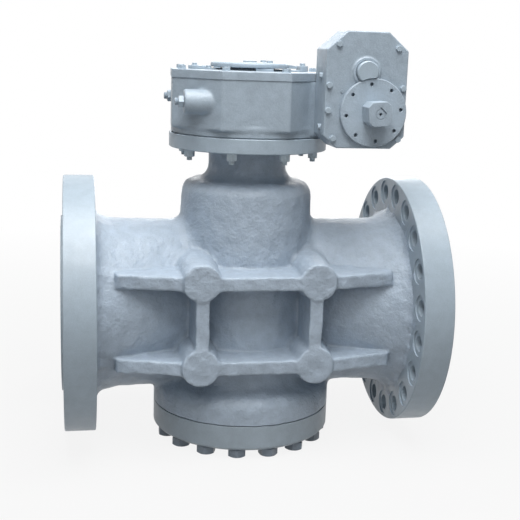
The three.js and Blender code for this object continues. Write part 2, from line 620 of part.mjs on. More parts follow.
// Four pads joined by ribs and posts, with ribs running out along the necks.
function ribGrid(side) {
  const ribs = [1, -1].map((level) => {
    const middle = level * PAD_Z - RIB_DROP;
    const outline = [
      [-RIB_END_X, RIB_ROOT], [-RIB_END_X, RIB_END_FACE], [-RIB_SHOULDER_X, RIB_SHOULDER_FACE],
      [-PAD_X, RIB_FACE], [PAD_X, RIB_FACE], [RIB_SHOULDER_X, RIB_SHOULDER_FACE],
      [RIB_END_X, RIB_END_FACE], [RIB_END_X, RIB_ROOT],
    ].map(([x, y]) => [x, side * y]);
    return prism(outline, middle - RIB_HEIGHT / 2, middle + RIB_HEIGHT / 2);
  });
  const posts = mirrorPair((hand) => {
    const y = [side * RIB_ROOT, side * RIB_FACE].sort((a, b) => a - b);
    const x = [hand * POST_X - POST_WIDTH / 2, hand * POST_X + POST_WIDTH / 2];
    return block(...x, ...y, -PAD_Z, PAD_Z);
  });
  const pads = mirrorPair((hand) => mirrorPair((level) => {
    const rootRadius = PAD_RADIUS + PAD_DRAFT * (PAD_FACE - RIB_ROOT);
    return turned([
      [0, side * RIB_ROOT],
      [rootRadius, side * RIB_ROOT],
      [PAD_RADIUS, side * PAD_FACE],
      [0, side * PAD_FACE],
    ], { sides: SMALL, axis: "y", x: hand * PAD_X, z: level * PAD_Z });
  })).flat();
  return join(...ribs, ...posts, ...pads);
}

const plugRadius = (height) => PLUG_RADIUS_AT_AXIS - PLUG_TAPER * height;
const seatRadius = (height) => boreFor(plugRadius(height), PLUG_GAP, ROUND);

function bodyCasting() {
  const flanges = mirrorPair(endFlange);
  const outer = join(
    barrel(),
    neckLoft(),
    ...flanges.map((flange) => flange.disc),
    ...mirrorPair(ribGrid),
  );
  const opening = -BASE_FLANGE_DEPTH - PAST;
  const seat = turned([
    [0, opening],
    [seatRadius(opening), opening],
    [seatRadius(SEAT_TOP), SEAT_TOP],
    [0, SEAT_TOP],
  ]);
  const stemBores = turned([
    [0, SEAT_TOP - PAST],
    [CHAMBER_RADIUS, SEAT_TOP - PAST],
    [CHAMBER_RADIUS, CHAMBER_TOP],
    [STEM_BUSH_RADIUS, CHAMBER_TOP],
    [STEM_BUSH_RADIUS, STEM_BUSH_TOP],
    [PACKING_RADIUS, STEM_BUSH_TOP],
    [PACKING_RADIUS, TOP_FLANGE_HEIGHT + PAST],
    [0, TOP_FLANGE_HEIGHT + PAST],
  ], { sides: SMALL });
  const boltHoles = around(COVER_BOLT_COUNT, COVER_BOLT_CIRCLE, (x, y) =>
    threadHole(COVER_BOLT_DIAMETER / 2, -BASE_FLANGE_DEPTH,
      -BASE_FLANGE_DEPTH + COVER_BOLT_GRIP, x, y));
  const studHoles = around(STUD_COUNT, STUD_CIRCLE, (x, y) =>
    threadHole(STUD_DIAMETER / 2, TOP_FLANGE_HEIGHT - TOP_FLANGE_THICKNESS, TOP_FLANGE_HEIGHT, x, y));
  return cut(
    outer,
    ...mirrorPair(passage),
    seat,
    stemBores,
    ...flanges.flatMap((flange) => flange.holes),
    ...boltHoles,
    ...studHoles,
  );
}

// Closure at the bottom

function bottomCover() {
  const spigot = seatRadius(-BASE_FLANGE_DEPTH) - SPIGOT_GAP;
  const pocket = THRUST_PAD_RADIUS + PAD_POCKET_GAP;
  const disc = turned([
    [0, COVER_BOTTOM],
    [BASE_FLANGE_RADIUS - COVER_CHAMFER, COVER_BOTTOM],
    [BASE_FLANGE_RADIUS, COVER_BOTTOM + COVER_CHAMFER],
    [BASE_FLANGE_RADIUS, COVER_TOP],
    [spigot, COVER_TOP],
    [spigot, COVER_TOP + SPIGOT_HEIGHT],
    [pocket, COVER_TOP + SPIGOT_HEIGHT],
    [pocket, COVER_TOP - PAD_POCKET_DEPTH],
    [0, COVER_TOP - PAD_POCKET_DEPTH],
  ]);
  const holes = around(COVER_BOLT_COUNT, COVER_BOLT_CIRCLE, (x, y) =>
    threadHole(COVER_BOLT_DIAMETER / 2, COVER_BOTTOM, COVER_TOP, x, y));
  return cut(disc, hole(seatFor(ADJUSTER_RADIUS), COVER_BOTTOM, COVER_TOP), ...holes);
}

function coverGasket() {
  const inner = seatRadius(-BASE_FLANGE_DEPTH) + GASKET_INSET;
  const outer = inner + GASKET_WIDTH;
  return ring(inner, outer, COVER_TOP + FIT, -BASE_FLANGE_DEPTH - FIT, { sides: MEDIUM });
}

// One hexagon head bolt from below.
function coverBolt(x, y) {
  const headTop = COVER_BOTTOM - FIT;
  const head = prism(shifted(hexagon(COVER_BOLT_HEAD_FLATS), x, y), UNDERSIDE, headTop);
  const end = -BASE_FLANGE_DEPTH + COVER_BOLT_GRIP;
  const shank = rod(COVER_BOLT_DIAMETER / 2, headTop - PAST, end, { sides: THREAD_SIDES, x, y });
  return join(head, shank);
}

const thrustPad = () => rod(THRUST_PAD_RADIUS, ADJUSTER_TOP + FIT, THRUST_PAD_TOP);

function adjustingScrew() {
  const tip = ADJUSTER_NUT_BOTTOM - ADJUSTER_TAIL;
  return turned([
    [0, tip],
    [ADJUSTER_RADIUS - ADJUSTER_CHAMFER, tip],
    [ADJUSTER_RADIUS, tip + ADJUSTER_CHAMFER],
    [ADJUSTER_RADIUS, ADJUSTER_TOP],
    [0, ADJUSTER_TOP],
  ], { sides: SMALL });
}

function adjustingNut() {
  const nut = prism(hexagon(ADJUSTER_NUT_FLATS), ADJUSTER_NUT_BOTTOM, COVER_BOTTOM - FIT);
  return cut(nut, hole(seatFor(ADJUSTER_RADIUS), ADJUSTER_NUT_BOTTOM, COVER_BOTTOM));
}

// Plug, stem and stem seals

function plug() {
  const body = turned([
    [0, PLUG_FOOT],
    [PLUG_BOSS_RADIUS, PLUG_FOOT],
    [PLUG_BOSS_RADIUS, -PLUG_BOTTOM],
    [plugRadius(-PLUG_BOTTOM), -PLUG_BOTTOM],
    [plugRadius(PLUG_TOP), PLUG_TOP],
    [0, PLUG_TOP],
  ]);
  const far = PLUG_RADIUS_AT_AXIS + PORT_OVERRUN;
  const port = loft([-far, far].map((x) =>
    passageSection(x, PORT_HALF_WIDTH, PORT_HALF_HEIGHT, PORT_CORNER)));
  const slot = block(-SLOT_WIDTH / 2, SLOT_WIDTH / 2, -SLOT_LENGTH / 2, SLOT_LENGTH / 2,
    PLUG_TOP - SLOT_DEPTH, PLUG_TOP + PAST);
  return cut(body, port, slot);
}

// The key between stem and sector, or with a gap the space for it.
function keyBox(gap) {
  const [deep, wide] = [KEY_HEIGHT / 2 + gap, KEY_WIDTH / 2 + gap];
  const tall = SECTOR_THICKNESS / 2 + gap;
  return block(-STEM_RADIUS - deep, -STEM_RADIUS + deep, -wide, wide,
    WORM_HEIGHT - tall, WORM_HEIGHT + tall);
}

function stem() {
  const shaft = turned([
    [0, COLLAR_BOTTOM],
    [COLLAR_RADIUS, COLLAR_BOTTOM],
    [COLLAR_RADIUS, COLLAR_TOP],
    [STEM_RADIUS, COLLAR_TOP],
    [STEM_RADIUS, STEM_JOURNAL_START],
    [STEM_TOP_JOURNAL, STEM_JOURNAL_START],
    [STEM_TOP_JOURNAL, HOUSING_COVER_TOP],
    [STEM_HUB_RADIUS, HOUSING_COVER_TOP],
    [STEM_HUB_RADIUS, POINTER_BOTTOM - FIT],
    [STEM_TIP_RADIUS, POINTER_BOTTOM - FIT],
    [STEM_TIP_RADIUS, POINTER_TOP + STEM_TIP_RISE],
    [0, POINTER_TOP + STEM_TIP_RISE],
  ], { sides: SMALL });
  const dog = block(-SLOT_WIDTH / 2 + FIT, SLOT_WIDTH / 2 - FIT, -SLOT_LENGTH / 2 + FIT,
    SLOT_LENGTH / 2 - FIT, PLUG_TOP - SLOT_DEPTH + FIT, COLLAR_BOTTOM + PAST);
  return cut(join(shaft, dog), keyBox(FIT));
}

const stemBush = () =>
  ring(boreFor(STEM_RADIUS, RUN), STEM_BUSH_RADIUS - FIT, CHAMBER_TOP, STEM_BUSH_TOP - FIT);
const stemPacking = () =>
  ring(boreFor(STEM_RADIUS, RUN), PACKING_RADIUS - FIT, STEM_BUSH_TOP + FIT, PACKING_TOP);
const packingGland = () =>
  ring(boreFor(STEM_RADIUS, RUN), PACKING_RADIUS - FIT, PACKING_TOP + FIT, TOP_FLANGE_HEIGHT);

// A stud through the top flange with its nut underneath.
function flangeStud(x, y) {
  const under = TOP_FLANGE_HEIGHT - TOP_FLANGE_THICKNESS - FIT;
  const nut = prism(shifted(hexagon(STUD_NUT_FLATS), x, y), under - STUD_NUT_HEIGHT, under);
  const bottom = under - STUD_NUT_HEIGHT - STUD_TAIL;
  const end = HOUSING_BOTTOM + STUD_ENGAGEMENT;
  return join(nut, rod(STUD_DIAMETER / 2, bottom, end, { sides: THREAD_SIDES, x, y }));
}

// Gear teeth

const involute = (angle) => Math.tan(angle) - angle;

// One tooth's outline, root to tip to root, its flanks drawn through a number of points.
function tooth(module, teeth, backlash, centre, flankPoints) {
  const pitch = (module * teeth) / 2;
  const base = pitch * Math.cos(PRESSURE_ANGLE);
  const half = ((Math.PI * module) / 2 - backlash) / 2 / pitch;
  const flank = (radius) => {
    const angle = Math.acos(Math.min(1, base / radius));
    return half + involute(PRESSURE_ANGLE) - involute(angle);
  };
  const root = pitch - DEDENDUM * module;
  const tip = pitch + module;
  const radii = Array.from({ length: flankPoints }, (_, i) =>
    root + ((tip - root) * i) / (flankPoints - 1));
  const rise = radii.map((radius) => [radius, flank(Math.max(base, radius))]);
  const polar = (radius, angle) => [radius * Math.cos(angle), radius * Math.sin(angle)];
  return [
    ...rise.map(([radius, offset]) => polar(radius, centre - offset)),
    ...rise.toReversed().map(([radius, offset]) => polar(radius, centre + offset)),
  ];
}

// A full spur gear outline, its first tooth at the given angle.
const gearOutline = (teeth, start) =>
  Array.from({ length: teeth }, (_, k) =>
    tooth(SPUR_MODULE, teeth, SPUR_BACKLASH, start + (2 * Math.PI * k) / teeth, SPUR_FLANK_POINTS),
  ).flat();

// Gear housing

const octagon = () => {
  const turn = THREE.MathUtils.degToRad(HOUSING_TURN);
  return polygon(HOUSING_SIDES, HOUSING_CORNER_RADIUS, turn);
};

function gearHousing() {
  const baseTop = HOUSING_BOTTOM + HOUSING_BASE_THICKNESS;
  const inside = HOUSING_CAVITY_RADIUS / 2;
  const chamberHull = prism([
    [inside, WORM_HEIGHT - WORM_CHAMBER_OUTER],
    ...arc(WORM_X, WORM_HEIGHT, WORM_CHAMBER_OUTER, -90, 90, SMALL / 2),
    [inside, WORM_HEIGHT + WORM_CHAMBER_OUTER],
  ], -WORM_END, WORM_END, "y");
  const stopBosses = mirrorPair((side) =>
    rod(STOP_BOSS_RADIUS, STOP_BOSS_END_X, -inside, onStopAxis(side)));
  const outer = join(
    rod(HOUSING_BASE_RADIUS, HOUSING_BOTTOM, baseTop + PAST, { sides: ROUND }),
    prism(octagon(), baseTop, HOUSING_TOP),
    chamberHull,
    ...stopBosses,
  );
  const studHoles = around(STUD_COUNT, STUD_CIRCLE, (x, y) =>
    threadHole(STUD_DIAMETER / 2, HOUSING_BOTTOM, HOUSING_BOTTOM + STUD_ENGAGEMENT, x, y));
  const stopHoles = mirrorPair((side) =>
    hole(seatFor(STOP_SCREW_RADIUS, FINE), STOP_BOSS_END_X, 0,
      { ...onStopAxis(side), sides: FINE }));
  return cut(
    outer,
    rod(HOUSING_CAVITY_RADIUS, HOUSING_FLOOR, HOUSING_TOP + PAST, { sides: MEDIUM }),
    hole(STEM_RADIUS + SECTOR_BUSH_WALL, HOUSING_BOTTOM, HOUSING_FLOOR),
    rod(WORM_CHAMBER_RADIUS, -WORM_CHAMBER_HALF_LENGTH, WORM_CHAMBER_HALF_LENGTH, ON_WORM_AXIS),
    hole(WORM_BUSH_OUTER, -WORM_END, WORM_END, ON_WORM_AXIS),
    ...studHoles,
    ...stopHoles,
  );
}

function housingCover() {
  const plate = prism(octagon(), HOUSING_COVER_BOTTOM, HOUSING_COVER_TOP);
  const bore = hole(STEM_TOP_JOURNAL + SECTOR_BUSH_WALL, HOUSING_COVER_BOTTOM, HOUSING_COVER_TOP);
  return cut(plate, bore);
}

const lowerSectorBush = () =>
  ring(boreFor(STEM_RADIUS, RUN), STEM_RADIUS + SECTOR_BUSH_WALL - FIT,
    HOUSING_BOTTOM, HOUSING_FLOOR - FIT);
const upperSectorBush = () =>
  ring(boreFor(STEM_TOP_JOURNAL, RUN), STEM_TOP_JOURNAL + SECTOR_BUSH_WALL - FIT,
    STEM_JOURNAL_START + FIT, HOUSING_COVER_TOP);

// The fixed scale on the housing cover: a strip under the pointer with a raised block at each end.
function indicatorPlate() {
  const bottom = HOUSING_COVER_TOP + FIT;
  const [open, shut] = [SCALE_OPEN_END, SCALE_SHUT_END];
  const openEnd = arc(open.x, 0, open.radius, 90, 270, FINE);
  const shutEnd = arc(shut.x, 0, shut.radius, -90, 90, FINE);
  const strip = prism([...openEnd, ...shutEnd], bottom, bottom + SCALE_THICKNESS);
  const openBlock = prism([...openEnd, [open.from, -open.radius], [open.from, open.radius]],
    bottom, bottom + open.height);
  const shutBlock = prism(shutEnd, bottom, bottom + shut.height);
  const hubHole = hole(boreFor(STEM_HUB_RADIUS, RUN), bottom, bottom + SCALE_THICKNESS);
  return cut(join(strip, openBlock, shutBlock), hubHole);
}

// The disc on the stem's end that shows where the port points.
function positionPointer() {
  const nose = [
    [POINTER_NOSE_ROOT, -POINTER_NOSE_HALF_WIDTH],
    [POINTER_RADIUS + POINTER_NOSE_REACH, 0],
    [POINTER_NOSE_ROOT, POINTER_NOSE_HALF_WIDTH],
  ];
  const disc = join(
    rod(POINTER_RADIUS, POINTER_BOTTOM, POINTER_TOP, { sides: MEDIUM }),
    prism(nose, POINTER_BOTTOM, POINTER_TOP),
  );
  return cut(disc, hole(seatFor(STEM_TIP_RADIUS), POINTER_BOTTOM, POINTER_TOP));
}

// Outline of the sector: a quadrant with flat stop faces and teeth on its rim.
function sectorOutline(rootRadius) {
  const pitchAngle = (2 * Math.PI) / WHEEL_TEETH;
  const first = (0.5 - (SECTOR_TEETH / 2 - WHEEL_TEETH / 8)) * pitchAngle;
  const teeth = Array.from({ length: SECTOR_TEETH }, (_, k) =>
    tooth(WORM_MODULE, WHEEL_TEETH, WORM_BACKLASH, first + k * pitchAngle, WHEEL_FLANK_POINTS),
  ).flat();
  const rootReach = Math.sqrt(rootRadius ** 2 - SECTOR_STOP_OFFSET ** 2);
  return [
    [-SECTOR_STOP_OFFSET, -SECTOR_STOP_OFFSET],
    [rootReach, -SECTOR_STOP_OFFSET],
    ...teeth,
    [-SECTOR_STOP_OFFSET, rootReach],
  ];
}

// Toothed sector, its teeth inclined to follow the worm's thread.
function sectorGear() {
  const rootRadius = WHEEL_PITCH_RADIUS - DEDENDUM * WORM_MODULE;
  const shape = new THREE.Shape(sectorOutline(rootRadius).map(([x, y]) => new THREE.Vector2(x, y)));
  const rim = new THREE.ExtrudeGeometry(shape, { depth: SECTOR_THICKNESS, bevelEnabled: false });
  rim.translate(0, 0, WORM_HEIGHT - SECTOR_THICKNESS / 2);
  const slant = WORM_LEAD / (2 * Math.PI * WORM_PITCH_RADIUS) / WHEEL_PITCH_RADIUS;
  const onTooth = (x, y) => Math.hypot(x, y) > rootRadius - FIT;
  const onStop = (x, y) => Math.min(x, y) < FIT - SECTOR_STOP_OFFSET;
  const place = rim.attributes.position;
  for (let i = 0; i < place.count; i++) {
    const [x, y, z] = [place.getX(i), place.getY(i), place.getZ(i)];
    if (!onTooth(x, y) || onStop(x, y)) continue;
    const [c, s] = [Math.cos(slant * (z - WORM_HEIGHT)), Math.sin(slant * (z - WORM_HEIGHT))];
    place.setXY(i, x * c - y * s, x * s + y * c);
  }
  const hub = rod(SECTOR_HUB_RADIUS, HOUSING_FLOOR + RUN, SECTOR_HUB_TOP, { sides: MEDIUM });
  const bore = hole(seatFor(STEM_RADIUS), HOUSING_FLOOR, SECTOR_HUB_TOP);
  return cut(join(solid(rim), hub), bore, keyBox(FIT));
}

// The worm's thread: a trapezium swept round the shaft on a right-hand helix.
function wormThread(foot, tip) {
  const halfAtPitch = ((Math.PI * WORM_MODULE) / 2 - WORM_BACKLASH) / 2;
  const halfAt = (radius) => halfAtPitch - (radius - WORM_PITCH_RADIUS) * Math.tan(PRESSURE_ANGLE);
  const side = [[foot, halfAt(foot)], [tip, halfAt(tip)]];
  const section = [...side.map(([radius, half]) => [radius, -half]), ...side.toReversed()];
  const steps = Math.round(WORM_TURNS * WORM_STEPS);
  const rings = Array.from({ length: steps + 1 }, (_, i) => {
    const angle = ((i - steps / 2) * 2 * Math.PI) / WORM_STEPS;
    const along = (WORM_LEAD * angle) / (2 * Math.PI);
    const [c, s] = [Math.cos(angle), Math.sin(angle)];
    return section.map(([radius, offset]) =>
      new THREE.Vector3(WORM_X - radius * c, along + offset, WORM_HEIGHT + radius * s));
  });
  const halfLength = (WORM_TURNS * WORM_LEAD) / 2 + halfAt(foot) + THREAD_SINK;
  return { thread: loft(rings), halfLength };
}

function wormShaft() {
  const root = WORM_PITCH_RADIUS - DEDENDUM * WORM_MODULE;
  const tip = WORM_PITCH_RADIUS + WORM_MODULE;
  const { thread, halfLength } = wormThread(root - THREAD_SINK, tip);
  const shaft = turned([
    [0, -OUTPUT_GEAR_FRONT],
    [WORM_SHAFT_RADIUS, -OUTPUT_GEAR_FRONT],
    [WORM_SHAFT_RADIUS, -halfLength],
    [root, -halfLength],
    [root, halfLength],
    [WORM_SHAFT_RADIUS, halfLength],
    [WORM_SHAFT_RADIUS, WORM_END - FIT],
    [0, WORM_END - FIT],
  ], { ...ON_WORM_AXIS, sides: SMALL });
  return join(shaft, thread);
}

const wormBush = (side) => {
  const ends = [side * (WORM_END - WORM_BUSH_LENGTH), side * WORM_END].sort((a, b) => a - b);
  return ring(boreFor(WORM_SHAFT_RADIUS, RUN), WORM_BUSH_OUTER - FIT, ...ends, ON_WORM_AXIS);
};

function wormEndCap() {
  const start = WORM_END + FIT;
  const end = start + WORM_END_CAP_THICKNESS;
  const radius = WORM_CHAMBER_OUTER - WORM_END_CAP_INSET;
  return turned([
    [0, start],
    [radius, start],
    [radius, end - CAP_CHAMFER],
    [radius - CAP_CHAMFER, end],
    [0, end],
  ], { ...ON_WORM_AXIS, sides: SMALL });
}

// Travel stop: a screw against the sector's flat, locked by a nut on its boss.
const stopScrew = (side) =>
  rod(STOP_SCREW_RADIUS, STOP_SCREW_END_X, -SECTOR_STOP_OFFSET - FIT,
    { ...onStopAxis(side), sides: FINE });

function stopNut(side) {
  const outline = shifted(hexagon(STOP_NUT_FLATS), side * STOP_Y, STOP_HEIGHT);
  const end = STOP_BOSS_END_X - FIT;
  const start = end - STOP_NUT_THICKNESS;
  const bore = hole(seatFor(STOP_SCREW_RADIUS, FINE), start, end,
    { ...onStopAxis(side), sides: FINE });
  return cut(prism(outline, start, end, "x"), bore);
}

// Spur reduction

// The case outline: a rectangle with four cut corners, drawn in by the given wall.
function caseOutline(inset) {
  const left = CASE_LEFT + inset;
  const right = CASE_LEFT + CASE_WIDTH - inset;
  const top = CASE_TOP - inset;
  const bottom = CASE_BOTTOM + inset;
  const trim = inset * CASE_CHAMFER_TRIM;
  const [topX, topZ] = [CASE_TOP_CHAMFER_X - trim, CASE_TOP_CHAMFER_Z - trim];
  const [bottomX, bottomZ] = [CASE_BOTTOM_CHAMFER_X - trim, CASE_BOTTOM_CHAMFER_Z - trim];
  return [
    [left + bottomX, bottom],
    [right - bottomX, bottom],
    [right, bottom + bottomZ],
    [right, top - topZ],
    [right - topX, top],
    [left + topX, top],
    [left, top - topZ],
    [left, bottom + bottomZ],
  ];
}

function reductionCase() {
  const shell = prism(caseOutline(0), -CASE_FACE, -CASE_REAR, "y");
  const hollow = prism(caseOutline(CASE_WALL), -CASE_FACE - PAST, -CASE_REAR - CASE_REAR_WALL, "y");
  const layBoss = rod(LAY_BUSH_OUTER + LAY_BOSS_WALL, -OUTPUT_GEAR_BACK + RUN, -CASE_REAR - PAST,
    ON_LAY_AXIS);
  return cut(
    join(cut(shell, hollow), layBoss),
    hole(boreFor(WORM_SHAFT_RADIUS, WORM_PASS_GAP), -CASE_FACE, -CASE_REAR, ON_WORM_AXIS),
    rod(LAY_BUSH_OUTER, -CASE_FACE, -CASE_REAR - LAY_BORE_FLOOR, ON_LAY_AXIS),
  );
}

function reductionCover() {
  return cut(
    prism(caseOutline(0), -CASE_COVER_FACE, -CASE_COVER_BACK, "y"),
    hole(boreFor(INPUT_HUB_RADIUS, FIT), -CASE_COVER_FACE, -CASE_COVER_BACK, ON_INPUT_AXIS),
    hole(boreFor(LAY_SHAFT_RADIUS, RUN), -CASE_COVER_FACE, -CASE_COVER_BACK, ON_LAY_AXIS),
  );
}

// Mounting flange for a handwheel or actuator, with the input shaft's bearing hub behind it.
function inputFlange() {
  const flange = turned([
    [0, -INPUT_FLANGE_FACE],
    [INPUT_FLANGE_RADIUS - INPUT_FLANGE_CHAMFER, -INPUT_FLANGE_FACE],
    [INPUT_FLANGE_RADIUS, -INPUT_FLANGE_FACE + INPUT_FLANGE_CHAMFER],
    [INPUT_FLANGE_RADIUS, -INPUT_FLANGE_BACK],
    [INPUT_HUB_RADIUS, -INPUT_FLANGE_BACK],
    [INPUT_HUB_RADIUS, -INPUT_HUB_END],
    [0, -INPUT_HUB_END],
  ], { ...ON_INPUT_AXIS, sides: MEDIUM });
  const firstHole = (INPUT_FLANGE_HOLE_TURN * INPUT_FLANGE_HOLES) / 360;
  const holes = around(INPUT_FLANGE_HOLES, INPUT_FLANGE_PCD, (u, v) =>
    hole(INPUT_FLANGE_HOLE / 2, -INPUT_FLANGE_FACE, -INPUT_FLANGE_BACK,
      { sides: FINE, axis: "y", x: INPUT_X + u, z: WORM_HEIGHT + v }), firstHole);
  const bore = hole(boreFor(INPUT_SHAFT_RADIUS, RUN), -INPUT_FLANGE_FACE, -INPUT_HUB_END,
    ON_INPUT_AXIS);
  return cut(flange, bore, ...holes);
}

function spurGear(teeth, { x, z }, firstTooth, from, to) {
  return prism(shifted(gearOutline(teeth, firstTooth), x, z), -to, -from, "y");
}

// The gear at the front end of the worm shaft, a tooth pointing at the layshaft.
function outputGear() {
  return cut(
    spurGear(GEAR_TEETH, ON_WORM_AXIS, TO_LAY_FROM_WORM, OUTPUT_GEAR_BACK, OUTPUT_GEAR_FRONT),
    hole(seatFor(WORM_SHAFT_RADIUS), -OUTPUT_GEAR_FRONT, -OUTPUT_GEAR_BACK, ON_WORM_AXIS),
  );
}

const HALF_PINION_PITCH = Math.PI / PINION_TEETH;

// Layshaft with its pinion; a tooth space faces the output gear.
function layShaft() {
  const start = TO_LAY_FROM_WORM + Math.PI + HALF_PINION_PITCH;
  return join(
    spurGear(PINION_TEETH, ON_LAY_AXIS, start, OUTPUT_GEAR_BACK, OUTPUT_GEAR_FRONT),
    rod(LAY_SHAFT_RADIUS, -CASE_COVER_FACE + FIT, -CASE_REAR - LAY_BORE_FLOOR - FIT, ON_LAY_AXIS),
  );
}

// The large layshaft gear, a tooth pointing at the input pinion.
function layGear() {
  const start = TO_LAY_FROM_INPUT + Math.PI;
  return cut(
    spurGear(GEAR_TEETH, ON_LAY_AXIS, start, LAY_GEAR_BACK, LAY_GEAR_FRONT),
    hole(seatFor(LAY_SHAFT_RADIUS), -LAY_GEAR_FRONT, -LAY_GEAR_BACK, ON_LAY_AXIS),
  );
}

const layshaftBush = () =>
  ring(boreFor(LAY_SHAFT_RADIUS, RUN), LAY_BUSH_OUTER - FIT,
    -OUTPUT_GEAR_BACK + 2 * RUN, -CASE_REAR - LAY_BORE_FLOOR - FIT, ON_LAY_AXIS);

// Round cap over the layshaft end, cut away where the input flange passes it.
function layshaftCap() {
  const back = -CASE_COVER_FACE - FIT;
  const front = back - LAY_CAP_LENGTH;
  const cap = turned([
    [0, front],
    [LAY_CAP_RADIUS - CAP_CHAMFER, front],
    [LAY_CAP_RADIUS, front + CAP_CHAMFER],
    [LAY_CAP_RADIUS, back],
    [0, back],
  ], { ...ON_LAY_AXIS, sides: SMALL });
  const flangeSpace = hole(boreFor(INPUT_FLANGE_RADIUS, FIT, MEDIUM), front, back,
    { ...ON_INPUT_AXIS, sides: MEDIUM });
  return cut(cap, flangeSpace);
}

// Input shaft: pinion inside, square drive end outside.
function inputShaft() {
  const half = INPUT_SQUARE / 2;
  const edge = half - INPUT_SQUARE_CHAMFER;
  const turn = THREE.MathUtils.degToRad(INPUT_SQUARE_TURN);
  const square = [
    [-edge, -half], [edge, -half], [half, -edge], [half, edge],
    [edge, half], [-edge, half], [-half, edge], [-half, -edge],
  ].map(([u, v]) => [
    u * Math.cos(turn) - v * Math.sin(turn),
    u * Math.sin(turn) + v * Math.cos(turn),
  ]);
  const start = TO_LAY_FROM_INPUT + HALF_PINION_PITCH;
  const whole = join(
    prism(shifted(square, INPUT_X, WORM_HEIGHT), -INPUT_END, -INPUT_FLANGE_FACE - FIT, "y"),
    rod(INPUT_SHAFT_RADIUS, -INPUT_FLANGE_FACE - PAST, -LAY_GEAR_BACK, ON_INPUT_AXIS),
    spurGear(PINION_TEETH, ON_INPUT_AXIS, start, LAY_GEAR_BACK, LAY_GEAR_FRONT),
  );
  const centreMark = rod(CENTRE_MARK_RADIUS, -INPUT_END - PAST, -INPUT_END + CENTRE_MARK_DEPTH,
    { ...ON_INPUT_AXIS, sides: FINE });
  return cut(whole, centreMark);
}

// Assembly

const valve = new THREE.Group();
valve.position.z = -UNDERSIDE;

const fixed = new THREE.Group();
fixed.add(
  piece("body_casting", bodyCasting(), paint()),
  piece("bottom_cover", bottomCover(), paint()),
  piece("cover_gasket", coverGasket(), graphite()),
  piece("thrust_pad", thrustPad(), bronze()),
  piece("adjusting_screw", adjustingScrew(), steel()),
  piece("adjusting_screw_nut", adjustingNut(), paint()),
  piece("stem_bush", stemBush(), bronze()),
  piece("stem_packing", stemPacking(), graphite()),
  piece("packing_gland", packingGland(), steel()),
  piece("gear_housing", gearHousing(), paint()),
  piece("housing_cover", housingCover(), paint()),
  piece("indicator_plate", indicatorPlate(), paint()),
  piece("lower_sector_bush", lowerSectorBush(), bronze()),
  piece("upper_sector_bush", upperSectorBush(), bronze()),
  piece("worm_bush_front", wormBush(-1), bronze()),
  piece("worm_bush_rear", wormBush(1), bronze()),
  piece("worm_end_cap", wormEndCap(), paint()),
  piece("stop_screw_closed", stopScrew(-1), steel()),
  piece("stop_screw_open", stopScrew(1), steel()),
  piece("stop_nut_closed", stopNut(-1), paint()),
  piece("stop_nut_open", stopNut(1), paint()),
  piece("reduction_case", reductionCase(), paint()),
  piece("reduction_cover", reductionCover(), paint()),
  piece("input_flange", inputFlange(), paint()),
  piece("layshaft_cap", layshaftCap(), paint()),
  piece("layshaft_bush", layshaftBush(), bronze()),
  ...around(COVER_BOLT_COUNT, COVER_BOLT_CIRCLE, (x, y, k) =>
    piece("cover_bolt_" + String(k + 1).padStart(2, "0"), coverBolt(x, y), darkSteel())),
  ...around(STUD_COUNT, STUD_CIRCLE, (x, y, k) =>
    piece("flange_stud_" + (k + 1), flangeStud(x, y), paint())),
);

const plugTrain = new THREE.Group();
plugTrain.add(
  piece("plug", plug(), steel()),
  piece("stem", stem(), steel()),
  piece("sector_gear", sectorGear(), darkSteel()),
  piece("sector_key", keyBox(0), steel()),
  piece("position_pointer", positionPointer(), paint()),
);

const wormTrain = new THREE.Group();
wormTrain.add(
  piece("worm_shaft", wormShaft(), steel()),
  piece("output_gear", outputGear(), darkSteel()),
);

const layTrain = new THREE.Group();
layTrain.add(
  piece("lay_shaft", layShaft(), steel()),
  piece("lay_gear", layGear(), darkSteel()),
);

const inputTrain = new THREE.Group();
inputTrain.add(piece("input_shaft", inputShaft(), paint()));

valve.add(fixed, plugTrain, wormTrain, layTrain, inputTrain);

export default valve;
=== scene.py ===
# Gear operated plug valve: the visual model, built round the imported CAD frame.
# Metres, +Z up, pipe along X, the operator's square drive points to -Y.

import itertools
import json
import math
import random

import bmesh
import bpy
import numpy as np
from mathutils import Matrix, Vector

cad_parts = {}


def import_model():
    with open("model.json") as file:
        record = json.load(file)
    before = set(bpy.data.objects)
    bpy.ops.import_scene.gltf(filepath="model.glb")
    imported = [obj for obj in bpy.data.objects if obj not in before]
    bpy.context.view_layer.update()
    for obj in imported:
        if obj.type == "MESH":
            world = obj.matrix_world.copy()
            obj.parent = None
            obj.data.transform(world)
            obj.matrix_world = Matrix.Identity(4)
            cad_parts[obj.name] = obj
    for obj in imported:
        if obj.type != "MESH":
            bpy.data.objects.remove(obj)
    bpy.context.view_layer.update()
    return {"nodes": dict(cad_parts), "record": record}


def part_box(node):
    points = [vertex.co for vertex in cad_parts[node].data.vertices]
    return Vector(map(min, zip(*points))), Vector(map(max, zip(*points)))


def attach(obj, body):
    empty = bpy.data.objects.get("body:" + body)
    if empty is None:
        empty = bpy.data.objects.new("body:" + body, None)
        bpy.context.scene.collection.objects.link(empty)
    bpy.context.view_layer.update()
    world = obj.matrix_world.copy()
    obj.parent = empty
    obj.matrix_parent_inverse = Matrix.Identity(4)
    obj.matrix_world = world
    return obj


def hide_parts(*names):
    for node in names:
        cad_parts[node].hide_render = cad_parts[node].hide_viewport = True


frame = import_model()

rng = random.Random(16)
noise_rng = np.random.default_rng(600)

